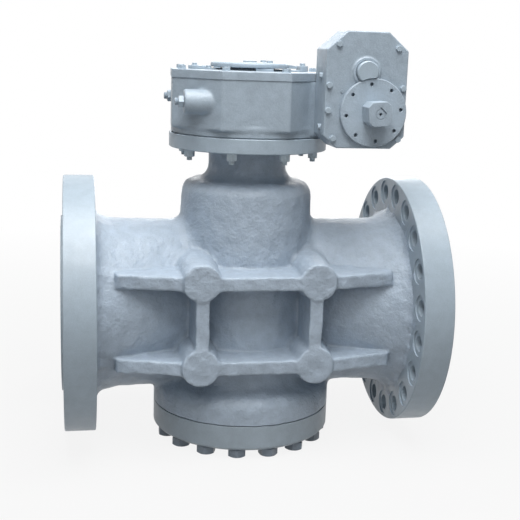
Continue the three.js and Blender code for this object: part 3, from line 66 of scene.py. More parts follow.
# Places, bodies and material slots taken from the frame
RECORD = frame["record"]
MOUNTS = {mount["name"]: mount for mount in RECORD["mounts"]}
AXIS_HEIGHT = MOUNTS["end_face_left"]["pos_m"][2]
HALF_LENGTH = MOUNTS["end_face_right"]["pos_m"][0]
NODE_SLOTS = {part["node"]: part["material_slot"] for part in RECORD["subparts"]}
NODE_BODIES = {name: body for body, names in RECORD["behaviour"]["bodies"].items() for name in names}
ON_AXIS = Matrix.Translation((0, 0, AXIS_HEIGHT))

# Camera that the photograph was taken with
IMAGE_SIZE = 520
FOCAL_PIXELS = 977.3
SENSOR_WIDTH = 36.0
CAMERA_PLACE = Vector((-0.4550, -2.6024, AXIS_HEIGHT + 0.6771))
CAMERA_YAW = 0.18967
CAMERA_PITCH = 0.20988
CAMERA_ROLL = 0.03247

# Modelling
MERGE_DISTANCE = 1e-6
SHORTEST_EDGE = 1e-7
OVERCUT = 0.01  # how far a cutting tool reaches past the face that it opens
SLAB = (-0.4, -0.4, 0.4, 0.4)  # left, front, right and back, as for every block
EDGE = 0.001  # rounding of a turned edge
SEAT_GAP = 0.0003

# End flanges, turned
FLANGE_RADIUS = 0.3429
FLANGE_EDGE = 0.003
RAISED_FACE_HEIGHT = 0.0064
RAISED_FACE_RADIUS = 0.23495
FLANGE_FRONT = HALF_LENGTH - RAISED_FACE_HEIGHT
FLANGE_THICKNESS = 0.0806
FLANGE_BACK = FLANGE_FRONT - FLANGE_THICKNESS
FLANGE_BOLT_COUNT = 20
FLANGE_BOLT_CIRCLE = 0.3016
FLANGE_BOLT_RADIUS = 0.02065
HOLE_CHAMFER = 0.0012
SPOT_FACE_RADIUS = 0.0335
SPOT_FACE_DEPTH = 0.0035
NECK_FILLET = 0.031
NECK_FLARE = 0.070

# Cast body, heights from the pipe axis
BODY_STEP = 0.0072
BODY_FINE_STEP = 0.0029
STEP_GROWTH = 0.3
BORE_RADIUS = 0.187
NECK_RADIUS = 0.228
WAIST_HALF_WIDTH = 0.140
WAIST_START = 0.130
WAIST_END = 0.370
WAIST_EVEN_SHARE = 0.65
BARREL_RADIUS = 0.187
BARREL_TAPER = 0.04
SHOULDER_HEIGHT = 0.304
SHOULDER_ROUND = 0.034
BONNET_RADIUS = 0.104
BONNET_ROUND = 0.040
BONNET_ROUND_HEIGHT = 0.378
BONNET_FILLET = 0.006
TOP_FLANGE_RADIUS = 0.211
TOP_FLANGE_BOTTOM = 0.425
TOP_FLANGE_TOP = 0.463
BASE_FLANGE_RADIUS = 0.245
BASE_FLANGE_BOTTOM = -0.277
BASE_RIM_TOP = -0.243
BASE_HOLLOW = 0.056
BASE_SHOULDER = 0.040
BASE_SLOPE = 62
PROFILE_SAMPLES = 1500
STEEPEST_PROFILE = 6
NECK_BLEND = 0.024
PAD_RADIUS = 0.048
PAD_DRAFT = 0.06
PAD_FACE = 0.268
PAD_X = 0.149
PAD_Z = 0.110
RIB_FACE = 0.264
RIB_HALF_HEIGHT = 0.0175
RIB_LEVELS = (0.106, -0.114)
RIB_DRAFT = 0.035
RIB_SHOULDER_X = 0.188
RIB_SHOULDER_FACE = 0.258
RIB_END_X = 0.361
RIB_END_FACE = 0.2135
RIB_FACE_LEAN = 0.96  # turns a depth along Y into a distance to the leaning face
RIB_ROOT = 0.100
POST_X = 0.146
POST_HALF_WIDTH = 0.017
RIB_EDGE = 0.0035
RIB_BLEND = 0.005
ROOT_BLEND = 0.0055
CAST_WAVE = 0.0008
CAST_WAVE_LENGTHS = (0.045, 0.020)

# Bottom cover, its bolts and the adjuster
COVER_TOP = -0.280
COVER_BOTTOM = -0.347
COVER_CHAMFER = 0.007
COVER_SPIGOT_RADIUS = 0.1819
COVER_SPIGOT_HEIGHT = 0.008
COVER_POCKET_RADIUS = 0.056
COVER_POCKET_DEPTH = 0.006
COVER_BOLTS = [f"cover_bolt_{number:02}" for number in range(1, 17)]
COVER_BOLT_FLATS = 0.045
COVER_BOLT_HEAD = 0.0227
COVER_BOLT_RADIUS = 0.015
COVER_BOLT_HOLE = 0.0155
COVER_BOLT_LENGTH = 0.104
ADJUSTER_RADIUS = 0.024
ADJUSTER_HOLE = 0.0243
ADJUSTER_THREAD = 0.012
ADJUSTER_KEY_FLATS = 0.022

# Small hex bolts, as width across flats and height of the head over its seat
CAP_BOLTS = {
    "housing_bolt": (0.019, 0.0095),
    "scale_bolt": (0.013, 0.0065),
    "pointer_bolt": (0.014, 0.0055),
    "case_bolt": (0.013, 0.007),
    "lid_bolt": (0.0135, 0.0075),
    "cap_bolt": (0.016, 0.009),
}
WASHER = 0.0016

# Studs under the top flange
STUD_COUNT = 8
STUD_CIRCLE = 0.178
STUD_RADIUS = 0.0075
STUD_PITCH = 0.002
STUD_FLATS = 0.024
STUD_NUT_HEIGHT = 0.020
STUD_TAIL = 0.009
STUD_HEAD = 0.022

# Gear operator, heights from the pipe axis
HOUSING_STEP = 0.0036
HOUSING_REACH_X = (-0.24, 0.306)
HOUSING_REACH_Y = (-0.228, 0.229)
HOUSING_CORNER_RADIUS = 0.22503
HOUSING_FIRST_CORNER = 18
HOUSING_CORNER_ROUND = 0.003
HOUSING_INSET = 0.002
HOUSING_BASE_RADIUS = 0.206
HOUSING_BOTTOM = TOP_FLANGE_TOP + SEAT_GAP
HOUSING_FOOT = 0.480
HOUSING_FLOOR = 0.492
HOUSING_TOP = 0.606
HOUSING_WAVE = 0.00015
HOUSING_WAVE_LENGTH = 0.05
HOUSING_CAVITY_RADIUS = 0.193
STEM_HOLE_RADIUS = 0.060
SEAM_DEPTH = 0.004
SEAM_HEIGHT = 0.003
WORM_X = 0.225
WORM_HEIGHT = 0.539
WORM_END = 0.156
WORM_CHAMBER_OUTER = 0.066
WORM_CHAMBER_WALL = 0.0085
WORM_CHAMBER_END = 0.124
WORM_HOLE_RADIUS = 0.035
STOP_Y = 0.150
STOP_HEIGHT = 0.550
STOP_BOSS_RADIUS = 0.031
STOP_BOSS_END = -0.191
STOP_BOSS_INNER = -0.09
STOP_SCREW_RADIUS = 0.0099
STOP_HOLE_RADIUS = 0.0103
STOP_THREAD = 0.024
STOP_KEY_FLATS = 0.0085

# Lid of the operator, with the scale and the pointer
LID_CORNER_ROUND = 0.005
LID_EDGE = 0.0022
LID_HOLE_RADIUS = 0.052
LID_RING_RADIUS = 0.080
LID_RING_HEIGHT = 0.005
LID_BOLT_CIRCLE = 0.196
STRIP_ROOM = (-0.1, -0.0285, 0.1, 0.0285)
REST_BLOCK = (-0.001, -0.100, 0.045, -0.070)
REST_BLOCK_HEIGHT = 0.0066
SCALE_LEFT = (-0.136, 0.028)  # centre along X and radius of an end of the scale
SCALE_RIGHT = (0.132, 0.026)
SCALE_LEFT_STOP = -0.120
SCALE_THICKNESS = 0.003
SCALE_LEFT_HEIGHT = 0.0087
SCALE_HOLE_RADIUS = 0.0246
POINTER_HOLE_RADIUS = 0.0183
POINTER_RIM_WIDTH = 0.012
POINTER_RECESS = (0.036, 0.040, 0.0025)  # inner and outer radius, depth
POINTER_NOSE_START = 0.070
POINTER_NOSE_HALF_WIDTHS = (0.020, 0.004)
POINTER_NOSE_DROP = 0.007
POINTER_BOLT = 0.045

# Reduction case, input drive and worm end cap
CASE_WALL = 0.008
CASE_BACK_WALL = 0.010
CASE_CORNER_ROUND = 0.006
CASE_TOP_TRIM = (0.052, 0.045)
CASE_BOTTOM_TRIM = (0.034, 0.030)
CASE_TRIM_SHARE = 0.6
CASE_LID_BOLTS = ((0.173, 0.702), (0.323, 0.695), (0.152, 0.603), (0.340, 0.599),
                  (0.151, 0.542), (0.166, 0.474), (0.333, 0.474))
CASE_SIDE_BOLTS = ((-0.220, 0.6245), (-0.222, 0.4996))
CASE_LID_SCREW = (0.185, 0.589)
LAY_BOSS_RADIUS = 0.030
LAY_BUSH_HOLE = 0.022
LAY_SHAFT_HOLE = 0.0165
LAY_CAP_RADIUS = 0.027
LAY_CAP_HOLE = 0.0285
WORM_PASS_RADIUS = 0.0275
INPUT_X = 0.264
INPUT_DISC_ROOM = 0.0846
INPUT_DISC_NOTCH = 0.0845
INPUT_DISC_THICKNESS = 0.014
INPUT_HUB_RADIUS = 0.033
INPUT_HUB_HOLE = 0.0335
INPUT_BORE = 0.0226
INPUT_JOURNAL = 0.022
DISC_HOLE_COUNT = 8
DISC_HOLE_CIRCLE = 0.0695
DISC_HOLE_FIRST = 7
DISC_HOLE_RADIUS = 0.0045
SQUARE_HALF_WIDTH = 0.029
SQUARE_HALF_FACE = 0.018
SQUARE_TURN = math.radians(5)
SQUARE_GROOVE = ((-0.0022, 0.0150), (0.0128, 0.0008), (0.0150, 0.0034), (0.0002, 0.0172))
PINION_TEETH = 14
SPUR_MODULE = 0.005
SPUR_BACKLASH = 0.0009
PRESSURE_ANGLE = math.radians(20)
WORM_CAP_RECESS = (0.028, 0.030, 0.0015)
WORM_CAP_BOLT_CIRCLE = 0.046

# Plug, stem and flow passage, heights from the pipe axis
PORT_HALF_WIDTH = 0.095
PORT_HALF_HEIGHT = 0.165
PORT_CORNER = 0.040
PORT_LENGTH = 0.185
BORE_START = 0.330
BORE_CORNER = BORE_RADIUS - 0.0005
PASSAGE_STATIONS = 17
PLUG_RADIUS = 0.160
PLUG_TAPER = 1 / 12
PLUG_GAP = 0.0005
PLUG_TOP = 0.215
PLUG_BOTTOM = -0.255
PLUG_FOOT_RADIUS = 0.060
PLUG_SLOT = (-0.028, -0.075, 0.028, 0.075)
PLUG_SLOT_DEPTH = 0.026
SEAT_TOP = 0.222
CHAMBER_RADIUS = 0.090
CHAMBER_TOP = 0.300
STEM_BUSH_RADIUS = 0.0603
STEM_BUSH_TOP = 0.360
PACKING_RADIUS = 0.0723
STEM_COLLAR_RADIUS = 0.080
STEM_COLLAR_LIFT = 0.013
STEM_COLLAR_TOP = SHOULDER_HEIGHT - 0.0046
STEM_RADIUS = 0.048
STEM_JOURNAL_RADIUS = 0.040
STEM_NECK_RADIUS = 0.024
STEM_TIP_RADIUS = 0.018
STEM_TIP_HEIGHT = 0.004
STEM_DOG = (-0.0277, -0.0747, 0.0277, 0.0747)

# Light, as name, place, size and power
WORLD_COLOUR = (0.93, 0.96, 1.0, 1)
WORLD_STRENGTH = 0.06
LAMPS = (
    ("sky_left", (-0.5, -0.5, 3.4), 1.8, 62),
    ("sky_right", (0.9, -0.5, 3.4), 1.8, 40),
    ("sky_front", (-0.3, -1.9, 3.2), 1.6, 62),
    ("front_panel", (-1.0, -3.5, 2.2), 1.4, 17),
    ("back_panel", (0.7, 2.9, 1.1), 1.8, 24),
)
LAMP_AIM = Vector((0, 0, 0.5))
FLOOR_SIDES = (-9, -9, 9, 9)
FLOOR_TONES = (0.35, 0.37)
FLOOR_GLOW = 0.88
FLOOR_GLOW_FADE = (0.9, 3.2)


# Mesh helpers

def linked(name, data):
    made = bpy.data.objects.new(name, data)
    bpy.context.scene.collection.objects.link(made)
    return made


def new_object(name, vertices, faces, matrix=None):
    """A mesh object with doubled vertices merged and every face turned outwards."""
    mesh = bpy.data.meshes.new(name)
    mesh.from_pydata([tuple(v) for v in vertices], [], faces)
    work = bmesh.new()
    work.from_mesh(mesh)
    bmesh.ops.remove_doubles(work, verts=work.verts, dist=MERGE_DISTANCE)
    bmesh.ops.dissolve_degenerate(work, edges=work.edges, dist=SHORTEST_EDGE)
    loose = [edge for edge in work.edges if edge.is_wire]
    bmesh.ops.delete(work, geom=loose, context="EDGES")
    bmesh.ops.recalc_face_normals(work, faces=work.faces)
    work.to_mesh(mesh)
    work.free()
    if matrix is not None:
        mesh.transform(matrix)
    return linked(name, mesh)


def rounded(corners, steps=4):
    """A closed outline of (u, v, radius) corners, each corner with a radius turned into an arc."""
    points = []
    count = len(corners)
    for i, corner in enumerate(corners):
        here = Vector(corner[:2])
        radius = corner[2] if len(corner) > 2 else 0
        if radius == 0:
            points.append(here)
            continue
        before = (Vector(corners[i - 1][:2]) - here).normalized()
        after = (Vector(corners[(i + 1) % count][:2]) - here).normalized()
        half = before.angle(after) / 2
        centre = here + (before + after).normalized() * (radius / math.sin(half))
        start = here + before * (radius / math.tan(half)) - centre
        end = here + after * (radius / math.tan(half)) - centre
        sweep = start.angle(end)
        for step in range(steps + 1):
            t = step / steps
            mixed = start * math.sin((1 - t) * sweep) + end * math.sin(t * sweep)
            points.append(centre + mixed / math.sin(sweep))
    return points


def facing(direction, place_at):
    """A matrix that lays a shape built along +Z along a direction, from a place."""
    turn = Vector((0, 0, 1)).rotation_difference(Vector(direction))
    return Matrix.Translation(place_at) @ turn.to_matrix().to_4x4()


def ring_faces(rings, count, closed=False):
    """Quads between rings of vertices, and the two end faces unless the rings close up."""
    faces = [] if closed else [tuple(reversed(range(count)))]
    for i in range(rings if closed else rings - 1):
        j = (i + 1) % rings
        for k in range(count):
            m = (k + 1) % count
            faces.append((i * count + k, i * count + m, j * count + m, j * count + k))
    if not closed:
        faces.append(tuple(range((rings - 1) * count, rings * count)))
    return faces


def lathe(name, corners, segments=96, matrix=None):
    """A closed outline of (radius, height, rounding) corners turned about Z."""
    outline = rounded(corners)
    angles = [2 * math.pi * k / segments for k in range(segments)]
    vertices = [(r * math.cos(a), r * math.sin(a), z) for r, z in outline for a in angles]
    return new_object(name, vertices, ring_faces(len(outline), segments, True), matrix)


def rod(radius, low, high, segments=32, edge=0.0, matrix=None, foot=None):
    """A plain rod along Z, also used as a drill. Its foot is rounded like its top unless given."""
    foot = edge if foot is None else foot
    return lathe("rod", [(0, low), (radius, low, foot), (radius, high, edge), (0, high)],
                 segments, matrix)


def around(radius, count, first=0):
    """Points round a circle, the first of them at an angle in degrees."""
    angles = [math.radians(first + 360 * k / count) for k in range(count)]
    return [(radius * math.cos(a), radius * math.sin(a)) for a in angles]


def inset(outline, depth):
    """A counter-clockwise outline drawn in by a depth."""
    drawn = []
    for i, here in enumerate(outline):
        before = (here - outline[i - 1]).normalized()
        after = (outline[(i + 1) % len(outline)] - here).normalized()
        first, second = Vector((-before.y, before.x)), Vector((-after.y, after.x))
        drawn.append(here + (first + second) * (depth / (1 + first.dot(second))))
    return drawn


def prism(name, outline, low, high, bevel=0.0, matrix=None, steps=3):
    """A counter-clockwise outline drawn out along Z, its end edges rounded."""
    outline = [Vector(point) for point in outline]
    levels = [(0, low), (0, high)]
    if bevel:
        turns = [math.pi / 2 * s / steps for s in range(steps + 1)]
        ends = [(bevel * (1 - math.sin(a)), bevel * (1 - math.cos(a))) for a in turns]
        levels = [(drawn, low + rise) for drawn, rise in ends]
        levels += [(drawn, high - rise) for drawn, rise in reversed(ends)]
    vertices = [(p.x, p.y, z) for drawn, z in levels
                for p in (inset(outline, drawn) if drawn else outline)]
    return new_object(name, vertices, ring_faces(len(levels), len(outline)), matrix)


def block(name, sides, low, high, bevel=0.0, matrix=None):
    """A box by its left, front, right and back, drawn out along Z."""
    left, front, right, back = sides
    corners = [(left, front), (right, front), (right, back), (left, back)]
    return prism(name, corners, low, high, bevel, matrix)


def joined(parts):
    """Several objects as one mesh."""
    work = bmesh.new()
    for part in parts:
        work.from_mesh(part.data)
        bpy.data.objects.remove(part)
    mesh = bpy.data.meshes.new("joined")
    work.to_mesh(mesh)
    work.free()
    return linked("joined", mesh)


def combine(target, tool, operation):
    """Joins a tool on the target, cuts it away or keeps what both share, and removes it."""
    modifier = target.modifiers.new("combine", "BOOLEAN")
    modifier.operation = operation
    modifier.solver = "MANIFOLD"
    modifier.object = tool
    bpy.context.view_layer.update()
    graph = bpy.context.evaluated_depsgraph_get()
    made = bpy.data.meshes.new_from_object(target.evaluated_get(graph))
    target.modifiers.clear()
    target.data = made
    bpy.data.objects.remove(tool)
    return target


def cut(target, *tools):
    for tool in tools:
        combine(target, tool, "DIFFERENCE")
    return target


def fuse(target, *parts):
    for part in parts:
        combine(target, part, "UNION")
    return target


def place(piece, name, body, material=None, angle=35):
    """Names a finished piece, gives it its material and shading and sets it on its body."""
    piece.name = name
    mesh = piece.data
    if material is not None:
        mesh.materials.clear()
        mesh.materials.append(MATERIALS[material])
    mesh.polygons.foreach_set("use_smooth", [True] * len(mesh.polygons))
    mesh.set_sharp_from_angle(angle=math.radians(angle))
    modifier = piece.modifiers.new("normals", "WEIGHTED_NORMAL")
    modifier.keep_sharp = True
    modifier.weight = 100
    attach(piece, body)


def stand_in(piece, name, node_name, material=None, angle=35):
    """Sets a finished piece in the place of a CAD node, on that node's body."""
    place(piece, name, NODE_BODIES[node_name], material, angle)
    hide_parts(node_name)


def material_where(piece, names, choose):
    """Gives each face the material that choose(centres, normals) names by number."""
    mesh = piece.data
    count = len(mesh.polygons)
    centres, normals = np.zeros(count * 3), np.zeros(count * 3)
    mesh.polygons.foreach_get("center", centres)
    mesh.polygons.foreach_get("normal", normals)
    mesh.materials.clear()
    for name in names:
        mesh.materials.append(MATERIALS[name])
    numbers = choose(centres.reshape(-1, 3), normals.reshape(-1, 3))
    mesh.polygons.foreach_set("material_index", numbers.astype(np.int32))
    mesh.update()


def centre_of(node_name):
    low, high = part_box(node_name)
    return [(a + b) / 2 for a, b in zip(low, high)]


# Fields and their surface

def graded(low, high, spots, reach):
    """Grid places between two ends, close together near the spots."""
    places = [low]
    while places[-1] < high:
        away = min(abs(places[-1] - spot) for spot in spots)
        step = BODY_FINE_STEP + STEP_GROWTH * max(0, away - reach)
        places.append(places[-1] + min(BODY_STEP, step))
    return np.array(places)


def surface_nets(field, axes):
    """The zero surface of a field sampled on a grid, negative inside, as vertices and quads."""
    inside = field < 0
    size = np.array(field.shape) - 1
    corners = list(itertools.product((0, 1), repeat=3))
    count = sum(inside[i:size[0] + i, j:size[1] + j, k:size[2] + k].astype(np.int8)
                for i, j, k in corners)
    mixed = (count > 0) & (count < 8)
    cells = np.argwhere(mixed)
    index = np.full(mixed.shape, -1, np.int64)
    index[mixed] = np.arange(len(cells))
    total, hits = np.zeros((len(cells), 3)), np.zeros(len(cells))
    for a, b in itertools.combinations(corners, 2):
        if sum(abs(p - q) for p, q in zip(a, b)) != 1:
            continue
        first = field[tuple((cells + a).T)]
        second = field[tuple((cells + b).T)]
        crossed = (first < 0) != (second < 0)
        t = first[crossed] / (first[crossed] - second[crossed])
        total[crossed] += np.array(a) + t[:, None] * (np.array(b) - np.array(a))
        hits[crossed] += 1
    places = cells + total / hits[:, None]
    vertices = np.stack([np.interp(places[:, i], np.arange(len(axis)), axis)
                         for i, axis in enumerate(axes)], 1)
    vertices[:, 2] += AXIS_HEIGHT
    faces = []
    for axis in range(3):
        unit = np.eye(3, dtype=int)
        along, u, v = unit[axis], unit[(axis + 1) % 3], unit[(axis + 2) % 3]
        start = inside[tuple(slice(0 if a else 1, s) for a, s in zip(along, size))]
        end = inside[tuple(slice(1, s + a) for a, s in zip(along, size))]
        edges = np.argwhere(start != end) + (1 - along)
        ring = np.stack([index[tuple((edges - shift).T)] for shift in (u + v, v, 0 * u, u)], 1)
        out = inside[tuple(edges.T)]
        ring[~out] = ring[~out][:, ::-1]
        faces.append(ring)
    return vertices, np.concatenate(faces).tolist()


def round_union(a, b, radius):
    u, v = np.maximum(radius - a, 0), np.maximum(radius - b, 0)
    return np.maximum(radius, np.minimum(a, b)) - np.sqrt(u * u + v * v)


def round_both(a, b, radius):
    u, v = np.maximum(radius + a, 0), np.maximum(radius + b, 0)
    return np.minimum(-radius, np.maximum(a, b)) + np.sqrt(u * u + v * v)


def waves(x, y, z, length, count=9):
    """A smooth random ripple between about -1 and 1."""
    total = np.zeros_like(x)
    for _ in range(count):
        direction = noise_rng.normal(size=3)
        direction *= 2 * math.pi / length / np.linalg.norm(direction)
        direction *= noise_rng.uniform(0.7, 1.4)
        phase = noise_rng.uniform(0, 2 * math.pi)
        total += np.sin(direction[0] * x + direction[1] * y + direction[2] * z + phase)
    return total / math.sqrt(count)


# Cast body

def circle_points(centre_u, centre_v, radius, start, end, steps=12):
    angles = np.radians(np.linspace(start, end, steps + 1))
    return np.stack([centre_u + radius * np.cos(angles), centre_v + radius * np.sin(angles)], 1)


def barrel_profile():
    """Radius and height along the outside of the barrel, from its base rim to the bonnet neck."""
    slope = math.radians(BASE_SLOPE)
    hollow_height = BASE_RIM_TOP + (BASE_HOLLOW + BASE_SHOULDER) * math.sin(slope)
    root = BARREL_RADIUS - BARREL_TAPER * hollow_height
    shoulder = BARREL_RADIUS - BARREL_TAPER * SHOULDER_HEIGHT
    return np.concatenate([
        [(BASE_FLANGE_RADIUS, BASE_FLANGE_BOTTOM - 0.03)],
        circle_points(BASE_FLANGE_RADIUS - BASE_SHOULDER, BASE_RIM_TOP, BASE_SHOULDER, 0, BASE_SLOPE),
        circle_points(root + BASE_HOLLOW, hollow_height, BASE_HOLLOW, 180 + BASE_SLOPE - 2, 180),
        circle_points(shoulder - SHOULDER_ROUND, SHOULDER_HEIGHT, SHOULDER_ROUND, 0, 66),
        circle_points(BONNET_RADIUS + BONNET_ROUND, BONNET_ROUND_HEIGHT, BONNET_ROUND, 245, 180),
        [(BONNET_RADIUS, TOP_FLANGE_BOTTOM - BONNET_FILLET)],
        circle_points(BONNET_RADIUS + BONNET_FILLET, TOP_FLANGE_BOTTOM - BONNET_FILLET,
                      BONNET_FILLET, 180, 95, 4),
        [(BONNET_RADIUS, TOP_FLANGE_BOTTOM + 0.004)],
    ])


def barrel_field(x, y, z):
    profile = barrel_profile()
    heights = np.linspace(profile[0, 1], profile[-1, 1], PROFILE_SAMPLES)
    radii = np.interp(heights, profile[:, 1], profile[:, 0])
    slopes = np.clip(np.gradient(radii, heights), -STEEPEST_PROFILE, STEEPEST_PROFILE)
    radius = np.interp(z, heights, radii)
    slope = np.interp(z, heights, slopes)
    side = (np.hypot(x, y) - radius) / np.sqrt(1 + slope ** 2)
    ends = np.maximum(z - (TOP_FLANGE_BOTTOM + 0.008), BASE_FLANGE_BOTTOM - 0.02 - z)
    return np.maximum(side, ends)


def neck_field(x, y, z):
    """Both necks, narrower towards the barrel and flared where they meet their flange."""
    far = np.abs(x)
    t = np.clip((far - WAIST_START) / (WAIST_END - WAIST_START), 0, 1)
    opened = WAIST_EVEN_SHARE * t + (1 - WAIST_EVEN_SHARE) * t * t * (3 - 2 * t)
    width = WAIST_HALF_WIDTH + (NECK_RADIUS - WAIST_HALF_WIDTH) * opened
    reach = np.sqrt((y / width) ** 2 + (z / NECK_RADIUS) ** 2) + 1e-9
    steep = np.sqrt(y ** 2 / width ** 4 + z ** 2 / NECK_RADIUS ** 4) + 1e-9
    side = reach * (reach - 1) / steep
    before_flange = (FLANGE_BACK + 0.0006 - far) * NECK_FILLET / NECK_FLARE
    disc = np.maximum(before_flange, np.hypot(y, z) - NECK_RADIUS - 0.05)
    return np.maximum(round_union(side, disc, NECK_FILLET), far - (FLANGE_BACK + 0.008))


def rib_field(x, y, z):
    """The two long ribs, the posts between them and the round pads where they cross."""
    far_x, far_y = np.abs(x), np.abs(y)
    face = np.interp(far_x, [0, PAD_X, RIB_SHOULDER_X, RIB_END_X],
                     [RIB_FACE, RIB_FACE, RIB_SHOULDER_FACE, RIB_END_FACE])
    front = (far_y - face) * RIB_FACE_LEAN
    widening = RIB_DRAFT * (RIB_FACE - far_y)
    ribs = [round_both(np.abs(z - level) - RIB_HALF_HEIGHT - widening, front, RIB_EDGE)
            for level in RIB_LEVELS]
    field = np.minimum(*(round_both(rib, far_x - RIB_END_X, RIB_EDGE) for rib in ribs))
    post = np.abs(far_x - POST_X) - POST_HALF_WIDTH - widening
    post = round_both(post, far_y - RIB_FACE, RIB_EDGE)
    post = np.maximum(post, np.abs(z) - PAD_Z)
    field = round_union(field, post, RIB_BLEND)
    pad_radius = PAD_RADIUS + PAD_DRAFT * (PAD_FACE - far_y)
    pad = np.hypot(far_x - PAD_X, np.abs(z) - PAD_Z) - pad_radius
    pad = round_both(pad, far_y - PAD_FACE, RIB_EDGE)
    field = round_union(field, pad, RIB_BLEND)
    return np.maximum(field, RIB_ROOT - far_y)


def cast_shell():
    """The rough cast outside of the body, between its turned flanges."""
    post_edges = [side * (POST_X + edge * POST_HALF_WIDTH) for side in (-1, 1) for edge in (-1, 1)]
    rib_edges = [level + edge * (RIB_HALF_HEIGHT + 0.001) for level in RIB_LEVELS for edge in (-1, 1)]
    axes = [graded(-FLANGE_BACK - 0.02, FLANGE_BACK + 0.02, post_edges, 0.006),
            graded(-0.285, 0.285, (-RIB_FACE - 0.001, RIB_FACE + 0.001), 0.007),
            graded(BASE_FLANGE_BOTTOM - 0.035, TOP_FLANGE_BOTTOM + 0.03, rib_edges, 0.007)]
    x, y, z = np.meshgrid(*axes, indexing="ij")
    field = round_union(barrel_field(x, y, z), neck_field(x, y, z), NECK_BLEND)
    field = round_union(field, rib_field(x, y, z), ROOT_BLEND)
    long_waves, short_waves = (waves(x, y, z, length) for length in CAST_WAVE_LENGTHS)
    field += CAST_WAVE * long_waves + 0.5 * CAST_WAVE * short_waves
    shell = new_object("shell", *surface_nets(field, axes))
    low = AXIS_HEIGHT + BASE_FLANGE_BOTTOM
    return cut(shell, block("below", SLAB, low - 0.06, low))


def end_flange(side):
    """A turned end flange with its raised face."""
    inner = BORE_RADIUS - 0.02
    return lathe("flange", [
        (inner, FLANGE_BACK),
        (FLANGE_RADIUS, FLANGE_BACK, FLANGE_EDGE),
        (FLANGE_RADIUS, FLANGE_FRONT, FLANGE_EDGE),
        (RAISED_FACE_RADIUS + EDGE, FLANGE_FRONT, EDGE),
        (RAISED_FACE_RADIUS, HALF_LENGTH, 0.0008),
        (inner, HALF_LENGTH),
    ], 160, facing((side, 0, 0), (0, 0, AXIS_HEIGHT)))


def stud_holes(side):
    """The drilled and spot faced holes of an end flange, as one tool."""
    radius, edge = FLANGE_BOLT_RADIUS, HOLE_CHAMFER
    spot = FLANGE_BACK + SPOT_FACE_DEPTH
    holes = []
    for y, z in around(FLANGE_BOLT_CIRCLE, FLANGE_BOLT_COUNT, 180 / FLANGE_BOLT_COUNT):
        holes.append(lathe("hole", [
            (0, FLANGE_BACK - 0.02),
            (SPOT_FACE_RADIUS, FLANGE_BACK - 0.02),
            (SPOT_FACE_RADIUS, spot, 0.0006),
            (radius + edge, spot),
            (radius, spot + edge),
            (radius, FLANGE_FRONT - edge),
            (radius + edge + 0.002, FLANGE_FRONT + 0.002),
            (0, FLANGE_FRONT + 0.002),
        ], 40, facing((side, 0, 0), (0, y, AXIS_HEIGHT + z))))
    return joined(holes)


def passage_section(x, half_width, half_height, corner, count=64):
    """Points round one section of the flow passage: a rectangle with round corners."""
    points = []
    for quarter in range(4):
        side_y = 1 if quarter in (0, 3) else -1
        side_z = 1 if quarter in (0, 1) else -1
        for k in range(count // 4):
            angle = math.pi / 2 * (quarter + k / (count // 4 - 1))
            y = side_y * (half_width - corner) + corner * math.cos(angle)
            z = AXIS_HEIGHT + side_z * (half_height - corner) + corner * math.sin(angle)
            points.append((x, y, z))
    return points


def skin(name, sections):
    """A closed skin over sections of equal length."""
    vertices = [point for section in sections for point in section]
    return new_object(name, vertices, ring_faces(len(sections), len(sections[0])))


def passage():
    """The whole flow passage: round at the ends, narrow and tall at the plug."""
    half = []
    for t in np.linspace(0, 1, PASSAGE_STATIONS):
        s = t * t * (3 - 2 * t)
        half.append((PORT_LENGTH + (BORE_START - PORT_LENGTH) * t,
                     PORT_HALF_WIDTH + (BORE_RADIUS - PORT_HALF_WIDTH) * s,
                     PORT_HALF_HEIGHT + (BORE_RADIUS - PORT_HALF_HEIGHT) * s,
                     PORT_CORNER + (BORE_CORNER - PORT_CORNER) * s))
    half.append((HALF_LENGTH + OVERCUT, BORE_RADIUS, BORE_RADIUS, BORE_CORNER))
    whole = [(-x, w, h, c) for x, w, h, c in reversed(half)] + half
    return skin("passage", [passage_section(*station) for station in whole])


def plug_radius(height):
    return PLUG_RADIUS - PLUG_TAPER * height


def seat():
    """The tapered seat that the plug turns in, open below."""
    low = BASE_FLANGE_BOTTOM - OVERCUT
    return lathe("seat", [
        (0, low), (plug_radius(low) + PLUG_GAP, low),
        (plug_radius(SEAT_TOP) + PLUG_GAP, SEAT_TOP), (0, SEAT_TOP),
    ], 128, ON_AXIS)


def stem_bore():
    return lathe("stem_bore", [
        (0, SEAT_TOP - OVERCUT), (CHAMBER_RADIUS, SEAT_TOP - OVERCUT), (CHAMBER_RADIUS, CHAMBER_TOP),
        (STEM_BUSH_RADIUS, CHAMBER_TOP), (STEM_BUSH_RADIUS, STEM_BUSH_TOP),
        (PACKING_RADIUS, STEM_BUSH_TOP), (PACKING_RADIUS, TOP_FLANGE_TOP + OVERCUT),
        (0, TOP_FLANGE_TOP + OVERCUT),
    ], 64, ON_AXIS)


def body_surfaces(centres, normals):
    """0 on the cast skin, 1 on what is turned and painted, 2 on bare steel."""
    x, y, z = centres[:, 0], centres[:, 1], centres[:, 2] - AXIS_HEIGHT
    from_pipe, from_stem, along = np.hypot(y, z), np.hypot(x, y), np.abs(x)
    end = (along > FLANGE_BACK - 0.0002) & (from_pipe > NECK_RADIUS + NECK_FILLET - 0.004)
    raised = (along > FLANGE_FRONT + 0.001) & (from_pipe < RAISED_FACE_RADIUS + 0.002)
    top = (z > TOP_FLANGE_BOTTOM - 0.001) & (from_stem > BONNET_RADIUS + 0.01)
    bare = (from_pipe < BORE_RADIUS + 0.0005) & (along > BORE_START)
    numbers = np.zeros(len(x), int)
    numbers[end | top | raised] = 1
    numbers[raised & (np.abs(normals[:, 0]) > 0.7) | bare] = 2
    return numbers


